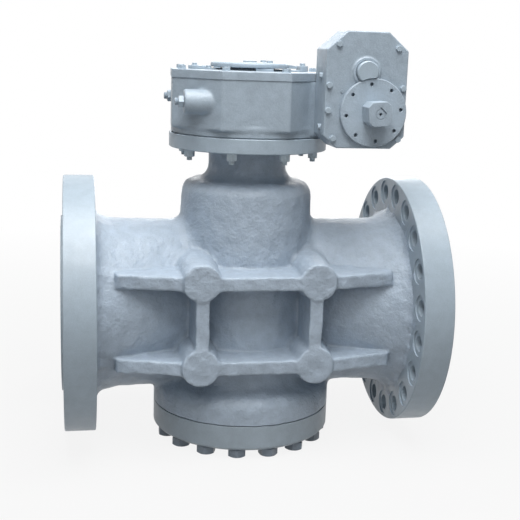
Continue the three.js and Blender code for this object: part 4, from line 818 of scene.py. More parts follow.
def valve_body():
    body = cast_shell()
    top_flange = rod(TOP_FLANGE_RADIUS, TOP_FLANGE_BOTTOM, TOP_FLANGE_TOP, 160, 0.002, ON_AXIS, 0.003)
    fuse(body, top_flange, end_flange(-1), end_flange(1))
    cut(body, passage(), seat(), stem_bore(), stud_holes(-1), stud_holes(1))
    material_where(body, ["cast", "turned", "bare"], body_surfaces)
    stand_in(body, "valve_body", "body_casting", angle=50)


# Fasteners

def hexagon(flats):
    """A counter-clockwise hexagon by its width across flats."""
    return around(flats / 2 / math.cos(math.pi / 6), 6)


def hex_solid(flats, low, high, chamfers=(False, True)):
    """A hexagon along Z with its corners turned off at the ends that ask for it."""
    outer, face = flats * 0.60, flats * 0.475
    drop = (outer - face) * math.tan(math.radians(30))
    below, above = [(0, low), (outer, low)], [(outer, high), (0, high)]
    if chamfers[0]:
        below = [(0, low), (face, low), (outer, low + drop)]
    if chamfers[1]:
        above = [(outer, high - drop), (face, high), (0, high)]
    solid = prism("hexagon", hexagon(flats), low, high, 0.0004)
    return combine(solid, lathe("turned_off", below + above, 36), "INTERSECT")


def threaded(radius, low, high, pitch, segments=24):
    """A rod along Z with a helical thread that runs out at both ends."""
    depth = 0.55 * pitch
    levels = np.linspace(low, high, int((high - low) / pitch * 6) + 1)
    vertices = []
    for z in levels:
        fade = min(1.0, (z - low) / pitch, (high - z) / pitch)
        for k in range(segments):
            groove = 1 - abs(2 * ((z / pitch + k / segments) % 1) - 1)
            reach = min(radius - depth * groove, radius - depth * (1 - fade))
            angle = 2 * math.pi * k / segments
            vertices.append((reach * math.cos(angle), reach * math.sin(angle), z))
    return new_object("thread", vertices, ring_faces(len(levels), segments))


def cap_bolt(flats, height):
    """A small hex head on its washer, the seat at Z = 0."""
    head = hex_solid(flats, WASHER - 0.0002, height)
    return fuse(head, rod(flats * 0.62, -0.0004, WASHER, 32, 0.0004, foot=0.0))


def randomly_turned(matrix):
    """A placing matrix with the hexagon first turned about its own axis."""
    return matrix @ Matrix.Rotation(rng.uniform(0, math.pi / 3), 4, "Z")


def copy_of(template, name, matrix):
    mesh = template.data.copy()
    mesh.transform(randomly_turned(matrix))
    return linked(name, mesh)


def bolt_row(name, matrices, body="valve_body", template=None):
    """Copies of a bolt, each turned by a random angle and a piece of its own."""
    if template is None:
        template = cap_bolt(*CAP_BOLTS[name])
    for number, matrix in enumerate(matrices, 1):
        piece_name = f"{name}_{number}"
        bolt = copy_of(template, piece_name, matrix)
        place(bolt, piece_name, body, "turned", 30)
    bpy.data.objects.remove(template)


def cover_bolts():
    """The bolts of the bottom cover, heads down."""
    head = hex_solid(COVER_BOLT_FLATS, 0.0015, COVER_BOLT_HEAD)
    fuse(head, rod(COVER_BOLT_FLATS * 0.485, 0, WASHER, 40),
         rod(COVER_BOLT_RADIUS, -COVER_BOLT_LENGTH, 0.001, 32, EDGE))
    for number, node_name in enumerate(COVER_BOLTS, 1):
        x, y, _ = centre_of(node_name)
        piece_name = f"hex_bolt_{number:02}"
        seat_place = (x, y, AXIS_HEIGHT + (COVER_BOTTOM - SEAT_GAP))
        bolt = copy_of(head, piece_name, facing((0, 0, -1), seat_place))
        stand_in(bolt, piece_name, node_name, "bolt", 30)
    bpy.data.objects.remove(head)


def flange_studs():
    """Studs with their nuts under the body's top flange."""
    under = TOP_FLANGE_BOTTOM - SEAT_GAP
    nut_end = under - STUD_NUT_HEIGHT
    stud = hex_solid(STUD_FLATS, nut_end, under - WASHER, (True, False))
    fuse(stud, rod(STUD_FLATS * 0.60, under - WASHER - 0.0002, under, 32, 0.0004),
         threaded(STUD_RADIUS, nut_end - STUD_TAIL, nut_end + 0.002, STUD_PITCH),
         rod(STUD_RADIUS - 0.001, nut_end + 0.001, TOP_FLANGE_TOP + STUD_HEAD, 24))
    for number in range(1, STUD_COUNT + 1):
        x, y, _ = centre_of(f"flange_stud_{number}")
        angle = math.atan2(y, x)
        at = (STUD_CIRCLE * math.cos(angle), STUD_CIRCLE * math.sin(angle), AXIS_HEIGHT)
        piece_name = f"stud_and_nut_{number}"
        piece = copy_of(stud, piece_name, Matrix.Translation(at))
        # The nut paint is made pale to stand in for light in the flange's shade: painted light.
        stand_in(piece, piece_name, f"flange_stud_{number}", "nut", 30)
    bpy.data.objects.remove(stud)


# Bottom cover and its adjuster

def bottom_cover():
    low, top, spigot = COVER_BOTTOM, COVER_TOP, COVER_SPIGOT_RADIUS
    cover = lathe("cover_disc", [
        (0, low),
        (BASE_FLANGE_RADIUS - COVER_CHAMFER, low, 0.002),
        (BASE_FLANGE_RADIUS, low + COVER_CHAMFER, 0.003),
        (BASE_FLANGE_RADIUS, top, 0.0016),
        (spigot, top, EDGE),
        (spigot, top + COVER_SPIGOT_HEIGHT, EDGE),
        (COVER_POCKET_RADIUS, top + COVER_SPIGOT_HEIGHT, EDGE),
        (COVER_POCKET_RADIUS, top - COVER_POCKET_DEPTH),
        (0, top - COVER_POCKET_DEPTH),
    ], 160, ON_AXIS)
    drills = [rod(ADJUSTER_HOLE, low - OVERCUT, top, matrix=ON_AXIS)]
    for node_name in COVER_BOLTS:
        x, y, _ = centre_of(node_name)
        drills.append(rod(COVER_BOLT_HOLE, low - OVERCUT, top + OVERCUT, 24,
                          matrix=Matrix.Translation((x, y, AXIS_HEIGHT))))
    cut(cover, joined(drills))
    stand_in(cover, "blind_cover", "bottom_cover", "cover")


def adjuster():
    """The screw that lifts the plug into its seat, and its lock nut."""
    low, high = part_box("adjusting_screw_nut")
    nut = hex_solid(high[0] - low[0], low[2], high[2], (True, True))
    cut(nut, rod(ADJUSTER_HOLE, low[2] - OVERCUT, high[2] + OVERCUT))
    stand_in(nut, "adjuster_lock_nut", "adjusting_screw_nut", "turned", 30)
    low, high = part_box("adjusting_screw")
    screw = threaded(ADJUSTER_RADIUS, low[2], low[2] + ADJUSTER_THREAD, 0.003, 36)
    fuse(screw, rod(ADJUSTER_RADIUS - 0.0012, low[2] + 0.010, high[2], 36, EDGE))
    cut(screw, prism("key_seat", hexagon(ADJUSTER_KEY_FLATS), low[2] - OVERCUT,
                     low[2] + ADJUSTER_THREAD))
    stand_in(screw, "adjuster_screw", "adjusting_screw", "steel", 30)


# Gear housing

def octagon_field(x, y, corner_round):
    """Distance to the octagon's sides, its corners rounded."""
    apothem = HOUSING_CORNER_RADIUS * math.cos(math.pi / 8) - HOUSING_INSET - corner_round
    radius, angle = np.hypot(x, y), np.arctan2(y, x)
    first = math.radians(HOUSING_FIRST_CORNER + 22.5)
    folded = (angle - first + math.pi / 8) % (math.pi / 4) - math.pi / 8
    out, along = radius * np.cos(folded) - apothem, np.abs(radius * np.sin(folded))
    beside = np.maximum(along - apothem * math.tan(math.pi / 8), 0)
    return np.where(out > 0, np.hypot(out, beside), out) - corner_round


def housing_shell():
    """The cast outside: octagon, round base, worm chamber and the two stop bosses."""
    low, high = HOUSING_BOTTOM, HOUSING_TOP
    axes = [np.arange(*HOUSING_REACH_X, HOUSING_STEP), np.arange(*HOUSING_REACH_Y, HOUSING_STEP),
            np.arange(low - 0.012, high + 0.013, HOUSING_STEP)]
    x, y, z = np.meshgrid(*axes, indexing="ij")
    box = round_both(octagon_field(x, y, HOUSING_CORNER_ROUND), HOUSING_FOOT - z, 0.004)
    base = np.maximum(np.hypot(x, y) - HOUSING_BASE_RADIUS, z - HOUSING_FOOT - 0.01)
    field = round_union(box, base, 0.005)
    ahead = np.clip(x, 0.1, WORM_X)
    chamber = np.hypot(x - ahead, z - WORM_HEIGHT) - WORM_CHAMBER_OUTER
    chamber = round_both(chamber, np.abs(y) - WORM_END, 0.004)
    field = round_union(field, chamber, 0.010)
    boss = np.hypot(np.abs(y) - STOP_Y, z - STOP_HEIGHT) - STOP_BOSS_RADIUS
    boss = round_both(boss, STOP_BOSS_END - x, 0.005)
    boss = np.maximum(boss, x - STOP_BOSS_INNER)
    field = round_union(field, boss, 0.0035)
    field += HOUSING_WAVE * waves(x, y, z, HOUSING_WAVE_LENGTH)
    field = np.maximum(field, np.maximum(low - 0.006 - z, z - high - 0.006))
    return new_object("shell", *surface_nets(field, axes))


def on_stop(side, x=0.0):
    return facing((-1, 0, 0), (x, side * STOP_Y, AXIS_HEIGHT + STOP_HEIGHT))


def gear_housing():
    low, high = HOUSING_BOTTOM, HOUSING_TOP
    cavity, seam = HOUSING_CAVITY_RADIUS, HOUSING_BASE_RADIUS - SEAM_DEPTH
    along_worm = facing((0, 1, 0), (WORM_X, 0, AXIS_HEIGHT + WORM_HEIGHT))
    housing = cut(
        housing_shell(),
        block("below", SLAB, low - 0.03, low, 0, ON_AXIS),
        block("above", SLAB, high, high + 0.03, 0, ON_AXIS),
        lathe("seam", [(seam, low - OVERCUT), (0.25, low - OVERCUT), (0.25, low + SEAM_HEIGHT),
                       (seam, low + SEAM_HEIGHT)], 160, ON_AXIS),
        lathe("cavity", [(0, HOUSING_FLOOR), (cavity, HOUSING_FLOOR, 0.006),
                         (cavity, high + OVERCUT), (0, high + OVERCUT)], 96, ON_AXIS),
        rod(STEM_HOLE_RADIUS, low - OVERCUT, HOUSING_FLOOR + OVERCUT, 64, matrix=ON_AXIS),
        rod(WORM_CHAMBER_OUTER - WORM_CHAMBER_WALL, -WORM_CHAMBER_END, WORM_CHAMBER_END, 64,
            matrix=along_worm),
        rod(WORM_HOLE_RADIUS, -0.17, 0.17, 48, matrix=along_worm),
        *(rod(STOP_HOLE_RADIUS, 0, 0.2, 24, matrix=on_stop(side, -0.05)) for side in (-1, 1)))
    stand_in(housing, "operator_housing", "gear_housing", "box", 42)


def housing_cover():
    """The octagonal lid, with a raised ring and a rest block under the pointer."""
    low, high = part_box("housing_cover")
    bottom, top = low[2], high[2]
    corners = [(x, y, LID_CORNER_ROUND)
               for x, y in around(HOUSING_CORNER_RADIUS, 8, HOUSING_FIRST_CORNER)]
    cover = prism("cover_plate", rounded(corners, 3), bottom, top, LID_EDGE)
    ring = rod(LID_RING_RADIUS, top - 0.002, top + LID_RING_HEIGHT, 96, EDGE, foot=0.0)
    cut(ring, block("strip_room", STRIP_ROOM, top - 0.001, top + OVERCUT))
    fuse(cover, ring, block("rest_block", REST_BLOCK, top - 0.001, top + REST_BLOCK_HEIGHT, 0.0008))
    cut(cover, rod(LID_HOLE_RADIUS, bottom - OVERCUT, top + 0.02, 64))
    stand_in(cover, "operator_cover", "housing_cover", "box")
    spots = around(LID_BOLT_CIRCLE, 8, HOUSING_FIRST_CORNER)
    bolt_row("housing_bolt", [Matrix.Translation((x, y, top)) for x, y in spots])


def indicator_plate():
    """The scale strip under the pointer, with a raised block at both ends of its travel."""
    low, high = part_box("indicator_plate")
    bottom = low[2]
    left = circle_points(SCALE_LEFT[0], 0, SCALE_LEFT[1], 90, 270, 16)
    right = circle_points(SCALE_RIGHT[0], 0, SCALE_RIGHT[1], -90, 90, 16)
    strip = prism("scale_strip", np.concatenate([left, right]), bottom, bottom + SCALE_THICKNESS,
                  0.0006)
    left_end = [*left, (SCALE_LEFT_STOP, -SCALE_LEFT[1]), (SCALE_LEFT_STOP, SCALE_LEFT[1])]
    fuse(strip, prism("left_end", left_end, bottom, bottom + SCALE_LEFT_HEIGHT, 0.0012),
         prism("right_end", right, bottom, high[2], 0.0012))
    cut(strip, rod(SCALE_HOLE_RADIUS, bottom - OVERCUT, bottom + 0.02, 48))
    stand_in(strip, "travel_scale", "indicator_plate", "turned")
    tops = [(-0.147, 0.0, bottom + SCALE_LEFT_HEIGHT), (-0.112, -0.016, bottom + SCALE_THICKNESS),
            (0.143, 0.0, high[2])]
    bolt_row("scale_bolt", [Matrix.Translation(at) for at in tops])


def position_pointer():
    """The round pointer on the stem's tip, with a nose that slopes down at its end."""
    low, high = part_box("position_pointer")
    bottom, top, radius = low[2], high[2], -low[0]
    recess, recess_edge, depth = POINTER_RECESS
    disc = lathe("pointer_disc", [
        (0, bottom),
        (radius, bottom, 0.003),
        (radius, top - 0.002, 0.005),
        (radius - POINTER_RIM_WIDTH, top, 0.004),
        (recess_edge, top, 0.002),
        (recess, top - depth, 0.002),
        (0, top - depth),
    ], 128)
    wide, narrow = POINTER_NOSE_HALF_WIDTHS
    start, tip = POINTER_NOSE_START, high[0]
    nose = prism("nose", [(start, -wide), (tip, -narrow), (tip, narrow), (start, wide)],
                 bottom, top, 0.0012)
    for vertex in nose.data.vertices:
        if vertex.co.z > (bottom + top) / 2 and vertex.co.x > 0.1:
            vertex.co.z -= POINTER_NOSE_DROP
    fuse(disc, nose)
    cut(disc, rod(POINTER_HOLE_RADIUS, bottom - OVERCUT, top + OVERCUT, 48))
    stand_in(disc, "travel_pointer", "position_pointer", "turned")
    spots = [(POINTER_BOLT, side * POINTER_BOLT, top) for side in (-1, 1)]
    bolt_row("pointer_bolt", [Matrix.Translation(at) for at in spots], "plug_train")


def stem():
    """The stem with its driving dog, shoulders and the tip that carries the pointer."""
    low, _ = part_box("stem")
    pointer_low, pointer_high = (corner[2] - AXIS_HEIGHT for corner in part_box("position_pointer"))
    cover_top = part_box("housing_cover")[1][2] - AXIS_HEIGHT
    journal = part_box("sector_gear")[1][2] - AXIS_HEIGHT + SEAT_GAP
    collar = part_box("plug")[1][2] - AXIS_HEIGHT + STEM_COLLAR_LIFT
    shaft = lathe("shaft", [
        (0, collar),
        (STEM_COLLAR_RADIUS, collar, EDGE),
        (STEM_COLLAR_RADIUS, STEM_COLLAR_TOP, EDGE),
        (STEM_RADIUS, STEM_COLLAR_TOP),
        (STEM_RADIUS, journal, EDGE),
        (STEM_JOURNAL_RADIUS, journal),
        (STEM_JOURNAL_RADIUS, cover_top, EDGE),
        (STEM_NECK_RADIUS, cover_top),
        (STEM_NECK_RADIUS, pointer_low - SEAT_GAP, EDGE),
        (STEM_TIP_RADIUS, pointer_low - SEAT_GAP),
        (STEM_TIP_RADIUS, pointer_high + STEM_TIP_HEIGHT, 0.002),
        (0, pointer_high + STEM_TIP_HEIGHT),
    ], 64, ON_AXIS)
    fuse(shaft, block("dog", STEM_DOG, low[2], AXIS_HEIGHT + collar + 0.001, EDGE))
    (left, front, key_low), (right, back, key_high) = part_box("sector_key")
    key = (left - SEAT_GAP, front - SEAT_GAP, right + SEAT_GAP, back + SEAT_GAP)
    cut(shaft, block("key_seat", key, key_low - SEAT_GAP, key_high + SEAT_GAP))
    material_where(shaft, ["steel", "turned"],
                   lambda centres, normals: centres[:, 2] > AXIS_HEIGHT + cover_top)
    stand_in(shaft, "valve_stem", "stem")


def travel_stops():
    """Each travel stop is a set screw with a lock nut on its boss."""
    for side, hand in ((-1, "closed"), (1, "open")):
        low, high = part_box(f"stop_screw_{hand}")
        tip, end = -high[0], -low[0]
        screw = threaded(STOP_SCREW_RADIUS, end - STOP_THREAD, end, 0.0025, 28)
        fuse(screw, rod(STOP_SCREW_RADIUS - 0.0011, tip, end - STOP_THREAD + 0.001, 28, EDGE))
        cut(screw, prism("key_seat", hexagon(STOP_KEY_FLATS), end - 0.006, end + OVERCUT))
        screw.data.transform(on_stop(side))
        stand_in(screw, f"set_screw_{hand}", f"stop_screw_{hand}", "box", 30)
        low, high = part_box(f"stop_nut_{hand}")
        seat_at, end = -high[0], -low[0]
        nut = hex_solid(high[1] - low[1], seat_at, end)
        cut(nut, rod(0.0101, seat_at - OVERCUT, end + OVERCUT, 28))
        nut.data.transform(randomly_turned(on_stop(side)))
        stand_in(nut, f"set_nut_{hand}", f"stop_nut_{hand}", "turned", 30)


# Reduction case

def depths(node_name):
    """The front and back of a node as distances towards -Y."""
    low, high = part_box(node_name)
    return -low[1], -high[1]


def on_front(u=0.0, v=0.0, w=0.0):
    """Places a shape drawn in X and height, built up along Z, facing -Y."""
    return Matrix(((1, 0, 0, u), (0, 0, -1, -w), (0, 1, 0, AXIS_HEIGHT + v), (0, 0, 0, 1)))


def layshaft_place():
    """X and height of the layshaft."""
    x, _, z = centre_of("layshaft_bush")
    return x, z - AXIS_HEIGHT


def case_outline(drawn_in):
    """The case's outline in X and height, with its four cut corners."""
    low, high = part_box("reduction_case")
    left, right = low[0] + drawn_in, high[0] - drawn_in
    bottom, top = low[2] - AXIS_HEIGHT + drawn_in, high[2] - AXIS_HEIGHT - drawn_in
    top_x, top_z = (size - drawn_in * CASE_TRIM_SHARE for size in CASE_TOP_TRIM)
    bottom_x, bottom_z = (size - drawn_in * CASE_TRIM_SHARE for size in CASE_BOTTOM_TRIM)
    corners = [(left + bottom_x, bottom), (right - bottom_x, bottom), (right, bottom + bottom_z),
               (right, top - top_z), (right - top_x, top), (left + top_x, top),
               (left, top - top_z), (left, bottom + bottom_z)]
    return rounded([(u, v, CASE_CORNER_ROUND) for u, v in corners], 3)


def reduction_case():
    front, back = depths("reduction_case")
    boss_front = depths("layshaft_bush")[0] - 0.0005
    lay = on_front(*layshaft_place())
    case = prism("case", case_outline(0), back, front, 0.002, on_front())
    cut(case, prism("hollow", case_outline(CASE_WALL), back + CASE_BACK_WALL, front + OVERCUT,
                    0.003, on_front()))
    fuse(case, rod(LAY_BOSS_RADIUS, back + 0.001, boss_front, 48, 0.002, lay, 0.0))
    cut(case, rod(LAY_BUSH_HOLE, back + 0.002, front, 48, matrix=lay),
        rod(WORM_PASS_RADIUS, back - OVERCUT, back + 0.02, 48,
            matrix=on_front(WORM_X, WORM_HEIGHT)))
    stand_in(case, "gear_case", "reduction_case", "box")
    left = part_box("reduction_case")[0][0]
    bolt_row("case_bolt",
             [facing((-1, 0, 0), (left, y, AXIS_HEIGHT + z)) for y, z in CASE_SIDE_BOLTS])


def reduction_cover():
    """The case's lid, with a raised rim round the layshaft's cap and room for the drive disc."""
    front, back = depths("reduction_cover")
    lay, drive = on_front(*layshaft_place()), on_front(INPUT_X, WORM_HEIGHT)
    cover = prism("case_lid", case_outline(0), back, front, 0.0035, on_front(), 5)
    fuse(cover, lathe("lay_rim", [
        (0, front - 0.004), (0.042, front - 0.004), (0.042, front - 0.0002),
        (0.036, front + 0.002, 0.004), (0.034, front + 0.005, 0.0015), (0, front + 0.005),
    ], 64, lay))
    cut(cover,
        rod(LAY_CAP_HOLE, front, front + OVERCUT, 64, matrix=lay),
        rod(INPUT_DISC_ROOM, front + 0.0002, front + 0.02, 96, matrix=drive),
        rod(INPUT_HUB_HOLE, back - OVERCUT, front + OVERCUT, 64, matrix=drive),
        rod(LAY_SHAFT_HOLE, back - OVERCUT, front + OVERCUT, 48, matrix=lay))
    stand_in(cover, "gear_case_lid", "reduction_cover", "box")
    bolt_row("lid_bolt", [on_front(x, z, front) for x, z in CASE_LID_BOLTS])
    screw = lathe("lid_screw", [(0, -0.0005), (0.0042, -0.0005), (0.0042, 0.002, EDGE), (0.002, 0.002),
                                (0.0016, 0.0008), (0, 0.0008)], 24)
    bolt_row("lid_screw", [on_front(*CASE_LID_SCREW, front)], template=screw)


def layshaft_cap():
    front, back = depths("layshaft_cap")
    radius = LAY_CAP_RADIUS
    cap = lathe("lay_cap", [
        (0, back), (radius, back), (radius, front - 0.003, EDGE),
        (radius - 0.0025, front, 0.0015), (0, front),
    ], 64, on_front(*layshaft_place()))
    cut(cap, rod(INPUT_DISC_NOTCH, back - OVERCUT, front + OVERCUT, 96,
                 matrix=on_front(INPUT_X, WORM_HEIGHT)))
    stand_in(cap, "bearing_cap", "layshaft_cap", "turned")


def input_flange():
    """The drilled disc that a handwheel bracket or an actuator bolts to."""
    low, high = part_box("input_flange")
    front, hub_end = depths("input_flange")
    radius = (high[0] - low[0]) / 2
    back = front - INPUT_DISC_THICKNESS
    drive = on_front(INPUT_X, WORM_HEIGHT)
    disc = lathe("drive_disc", [
        (0, hub_end), (INPUT_HUB_RADIUS, hub_end, EDGE), (INPUT_HUB_RADIUS, back),
        (radius, back, EDGE), (radius, front - 0.002, 0.0012), (radius - 0.002, front, 0.0012),
        (0, front),
    ], 128, drive)
    hole = DISC_HOLE_RADIUS
    holes = []
    for x, z in around(DISC_HOLE_CIRCLE, DISC_HOLE_COUNT, DISC_HOLE_FIRST):
        holes.append(lathe("hole", [
            (0, back - OVERCUT), (hole, back - OVERCUT), (hole, front - 0.0008),
            (hole + 0.0018, front + 0.001), (0, front + 0.001),
        ], 24, on_front(INPUT_X + x, WORM_HEIGHT + z)))
    cut(disc, joined(holes), rod(INPUT_BORE, hub_end - OVERCUT, front + OVERCUT, 64, matrix=drive))
    stand_in(disc, "drive_flange", "input_flange", "box")


def spur_outline(teeth, first):
    """An involute gear's outline, counter-clockwise."""
    module, pressure = SPUR_MODULE, PRESSURE_ANGLE
    pitch = module * teeth / 2
    base, root, tip = pitch * math.cos(pressure), pitch - 1.25 * module, pitch + module
    half = ((math.pi * module) / 2 - SPUR_BACKLASH) / 2 / pitch
    spread = lambda angle: math.tan(angle) - angle
    flank = []
    for radius in np.linspace(root, tip, 8):
        angle = math.acos(min(1, base / max(radius, base)))
        flank.append((radius, half + spread(pressure) - spread(angle)))
    points = []
    for tooth in range(teeth):
        centre = first + 2 * math.pi * tooth / teeth
        sides = [(radius, centre - offset) for radius, offset in flank]
        sides += [(radius, centre + offset) for radius, offset in reversed(flank)]
        points += [Vector((radius * math.cos(a), radius * math.sin(a))) for radius, a in sides]
    return points


def input_shaft():
    """The input shaft: square drive end, round journal and pinion."""
    end, back = depths("input_shaft")
    flange_front, gear_front = depths("input_flange")[0], depths("lay_gear")[0]
    half, edge = SQUARE_HALF_WIDTH, SQUARE_HALF_FACE
    corners = [(-edge, -half), (edge, -half), (half, -edge), (half, edge),
               (edge, half), (-edge, half), (-half, edge), (-half, -edge)]
    cos, sin = math.cos(SQUARE_TURN), math.sin(SQUARE_TURN)
    square = rounded([(u * cos - v * sin, u * sin + v * cos, 0.001) for u, v in corners], 2)
    shaft = prism("square", square, flange_front + SEAT_GAP, end, 0.0012)
    lay_x, lay_height = layshaft_place()
    to_lay = math.atan2(lay_height - WORM_HEIGHT, lay_x - INPUT_X)
    pinion = spur_outline(PINION_TEETH, to_lay + math.pi / PINION_TEETH)
    fuse(shaft, prism("pinion", pinion, back, gear_front),
         rod(INPUT_JOURNAL, back + 0.001, flange_front + 0.001, 48))
    cut(shaft,
        lathe("centre_hole", [(0, end - 0.014), (0.0030, end - 0.012), (0.0030, end - 0.002),
                              (0.0045, end + 0.001), (0, end + 0.001)], 24),
        lathe("centre_ring", [(0.0105, end - 0.001), (0.0130, end - 0.001), (0.0136, end + 0.001),
                              (0.0100, end + 0.001)], 48),
        prism("groove", SQUARE_GROOVE, end - 0.0045, end + 0.001))
    shaft.data.transform(on_front(INPUT_X, WORM_HEIGHT))
    stand_in(shaft, "drive_shaft", "input_shaft", "box")


def worm_end_cap():
    low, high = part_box("worm_end_cap")
    radius, back, front = (high[0] - low[0]) / 2, low[1], high[1]
    recess, recess_edge, depth = WORM_CAP_RECESS
    matrix = facing((0, 1, 0), (WORM_X, 0, AXIS_HEIGHT + WORM_HEIGHT))
    cap = lathe("worm_cap", [
        (0, back), (radius, back), (radius, front - 0.002, 0.0015), (radius - 0.002, front, 0.0015),
        (recess_edge, front, EDGE), (recess, front - depth), (0, front - depth),
    ], 96, matrix)
    stand_in(cap, "worm_cover", "worm_end_cap", "turned")
    spots = around(WORM_CAP_BOLT_CIRCLE, 6, 30)
    bolt_row("cap_bolt", [matrix @ Matrix.Translation((x, y, front)) for x, y in spots])


# Plug

def plug():
    """The tapered plug with its tall port and the slot that the stem drives."""
    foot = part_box("plug")[0][2] - AXIS_HEIGHT
    whole = lathe("taper", [
        (0, foot), (PLUG_FOOT_RADIUS, foot, EDGE), (PLUG_FOOT_RADIUS, PLUG_BOTTOM),
        (plug_radius(PLUG_BOTTOM), PLUG_BOTTOM, 0.002), (plug_radius(PLUG_TOP), PLUG_TOP, 0.002),
        (0, PLUG_TOP),
    ], 160, ON_AXIS)
    reach = PLUG_RADIUS + 0.06
    port = skin("port", [passage_section(x, PORT_HALF_WIDTH, PORT_HALF_HEIGHT, PORT_CORNER)
                         for x in (-reach, reach)])
    cut(whole, port,
        block("slot", PLUG_SLOT, PLUG_TOP - PLUG_SLOT_DEPTH, PLUG_TOP + OVERCUT, 0, ON_AXIS))
    stand_in(whole, "taper_plug", "plug", "steel")


# Materials

def node(tree, kind, **values):
    """A shader node with its sockets and settings filled in."""
    made = tree.nodes.new(kind)
    for key, value in values.items():
        name = key.replace("_", " ")
        if name in made.inputs:
            made.inputs[name].default_value = value
        else:
            setattr(made, key, value)
    return made


def ramp(tree, factor, stops):
    """A colour ramp with two stops."""
    made = tree.nodes.new("ShaderNodeValToRGB")
    for element, (position, colour) in zip(made.color_ramp.elements, stops):
        element.position = position
        element.color = (*colour, 1)
    tree.links.new(factor, made.inputs["Fac"])
    return made.outputs["Color"]


def start_material(name):
    material = bpy.data.materials.new(name)
    material.use_nodes = True
    tree = material.node_tree
    shader = tree.nodes["Principled BSDF"]
    return material, tree, shader, tree.nodes.new("ShaderNodeTexCoord").outputs["Object"]


def noise(tree, at, scale, detail):
    """A noise texture's value."""
    made = node(tree, "ShaderNodeTexNoise", Scale=scale, Detail=detail, Roughness=0.55)
    tree.links.new(at, made.inputs["Vector"])
    return made.outputs["Fac"]


def bumped(tree, height, distance, below=None):
    made = node(tree, "ShaderNodeBump", Strength=1.0, Distance=distance)
    tree.links.new(height, made.inputs["Height"])
    if below is not None:
        tree.links.new(below, made.inputs["Normal"])
    return made.outputs["Normal"]


def feed(tree, shader, **sources):
    """Links each source to the shader's input of that name."""
    for key, source in sources.items():
        tree.links.new(source, shader.inputs[key.replace("_", " ")])


def grey(value):
    return (value, value, value)


def shades(colour, spread):
    """A darker and a paler shade of a colour."""
    return [tuple(min(1, c * share) for c in colour) for share in (1 - spread, 1 + spread)]


def blended(tree, factor, first, second, mode="MIX"):
    made = tree.nodes.new("ShaderNodeMix")
    made.data_type = "RGBA"
    made.blend_type = mode
    for socket, value in ((0, factor), (6, first), (7, second)):
        if isinstance(value, tuple):
            made.inputs[socket].default_value = (*value, 1)
        elif isinstance(value, float):
            made.inputs[socket].default_value = value
        else:
            tree.links.new(value, made.inputs[socket])
    return made.outputs[2]


def paint(name, colour, roughness, layers, patch=0.06, edge=0.35, crease_shade=0.15):
    """Enamel over metal, with painted highlight on its convex edges and painted shade in its concave
    creases. layers are (noise scale, bump depth) pairs from coarse to fine; edge sets the painted
    highlight and the last value the painted shade.
    """
    material, tree, shader, at = start_material(name)
    low, high = shades(colour, patch)
    tone = ramp(tree, noise(tree, at, 7, 5), [(0.3, low), (0.7, high)])
    geometry = tree.nodes.new("ShaderNodeNewGeometry")
    shading = [
        (noise(tree, at, 420, 2), (0.35, 0.93), (0.65, 1.04)),
        (noise(tree, at, 38, 3), (0.35, 1 - patch), (0.65, 1 + patch)),
        # Painted shade: Pointiness darkens concave creases and corners.
        (geometry.outputs["Pointiness"], (0.44, 1 - crease_shade), (0.5, 1.0)),
    ]
    for factor, (low_at, low_grey), (high_at, high_grey) in shading:
        layer = ramp(tree, factor, [(low_at, grey(low_grey)), (high_at, grey(high_grey))])
        tone = blended(tree, 1.0, tone, layer, "MULTIPLY")
    # Painted highlight: Pointiness blends convex edges towards a paler shade of the paint.
    painted_edge_highlight = ramp(tree, geometry.outputs["Pointiness"], [(0.52, grey(0.0)), (0.60, grey(edge))])
    tone = blended(tree, painted_edge_highlight, tone, shades(colour, 0.35)[1])
    gloss = ramp(tree, noise(tree, at, 26, 6),
                 [(0.3, grey(roughness - 0.07)), (0.7, grey(roughness + 0.08))])
    normal = None
    for scale, depth in layers:
        normal = bumped(tree, noise(tree, at, scale, 5), depth, normal)
    feed(tree, shader, Base_Color=tone, Roughness=gloss, Normal=normal)
    return material


def metal(name, colour, roughness):
    """Bare or oiled metal with fine tool marks."""
    material, tree, shader, at = start_material(name)
    shader.inputs["Metallic"].default_value = 1.0
    marks = noise(tree, at, 900, 3)
    low, high = shades(colour, 0.12)
    tone = ramp(tree, noise(tree, at, 18, 6), [(0.35, low), (0.65, high)])
    gloss = ramp(tree, marks, [(0.3, grey(roughness - 0.06)), (0.7, grey(roughness + 0.08))])
    feed(tree, shader, Base_Color=tone, Roughness=gloss, Normal=bumped(tree, marks, 0.0001))
    return material


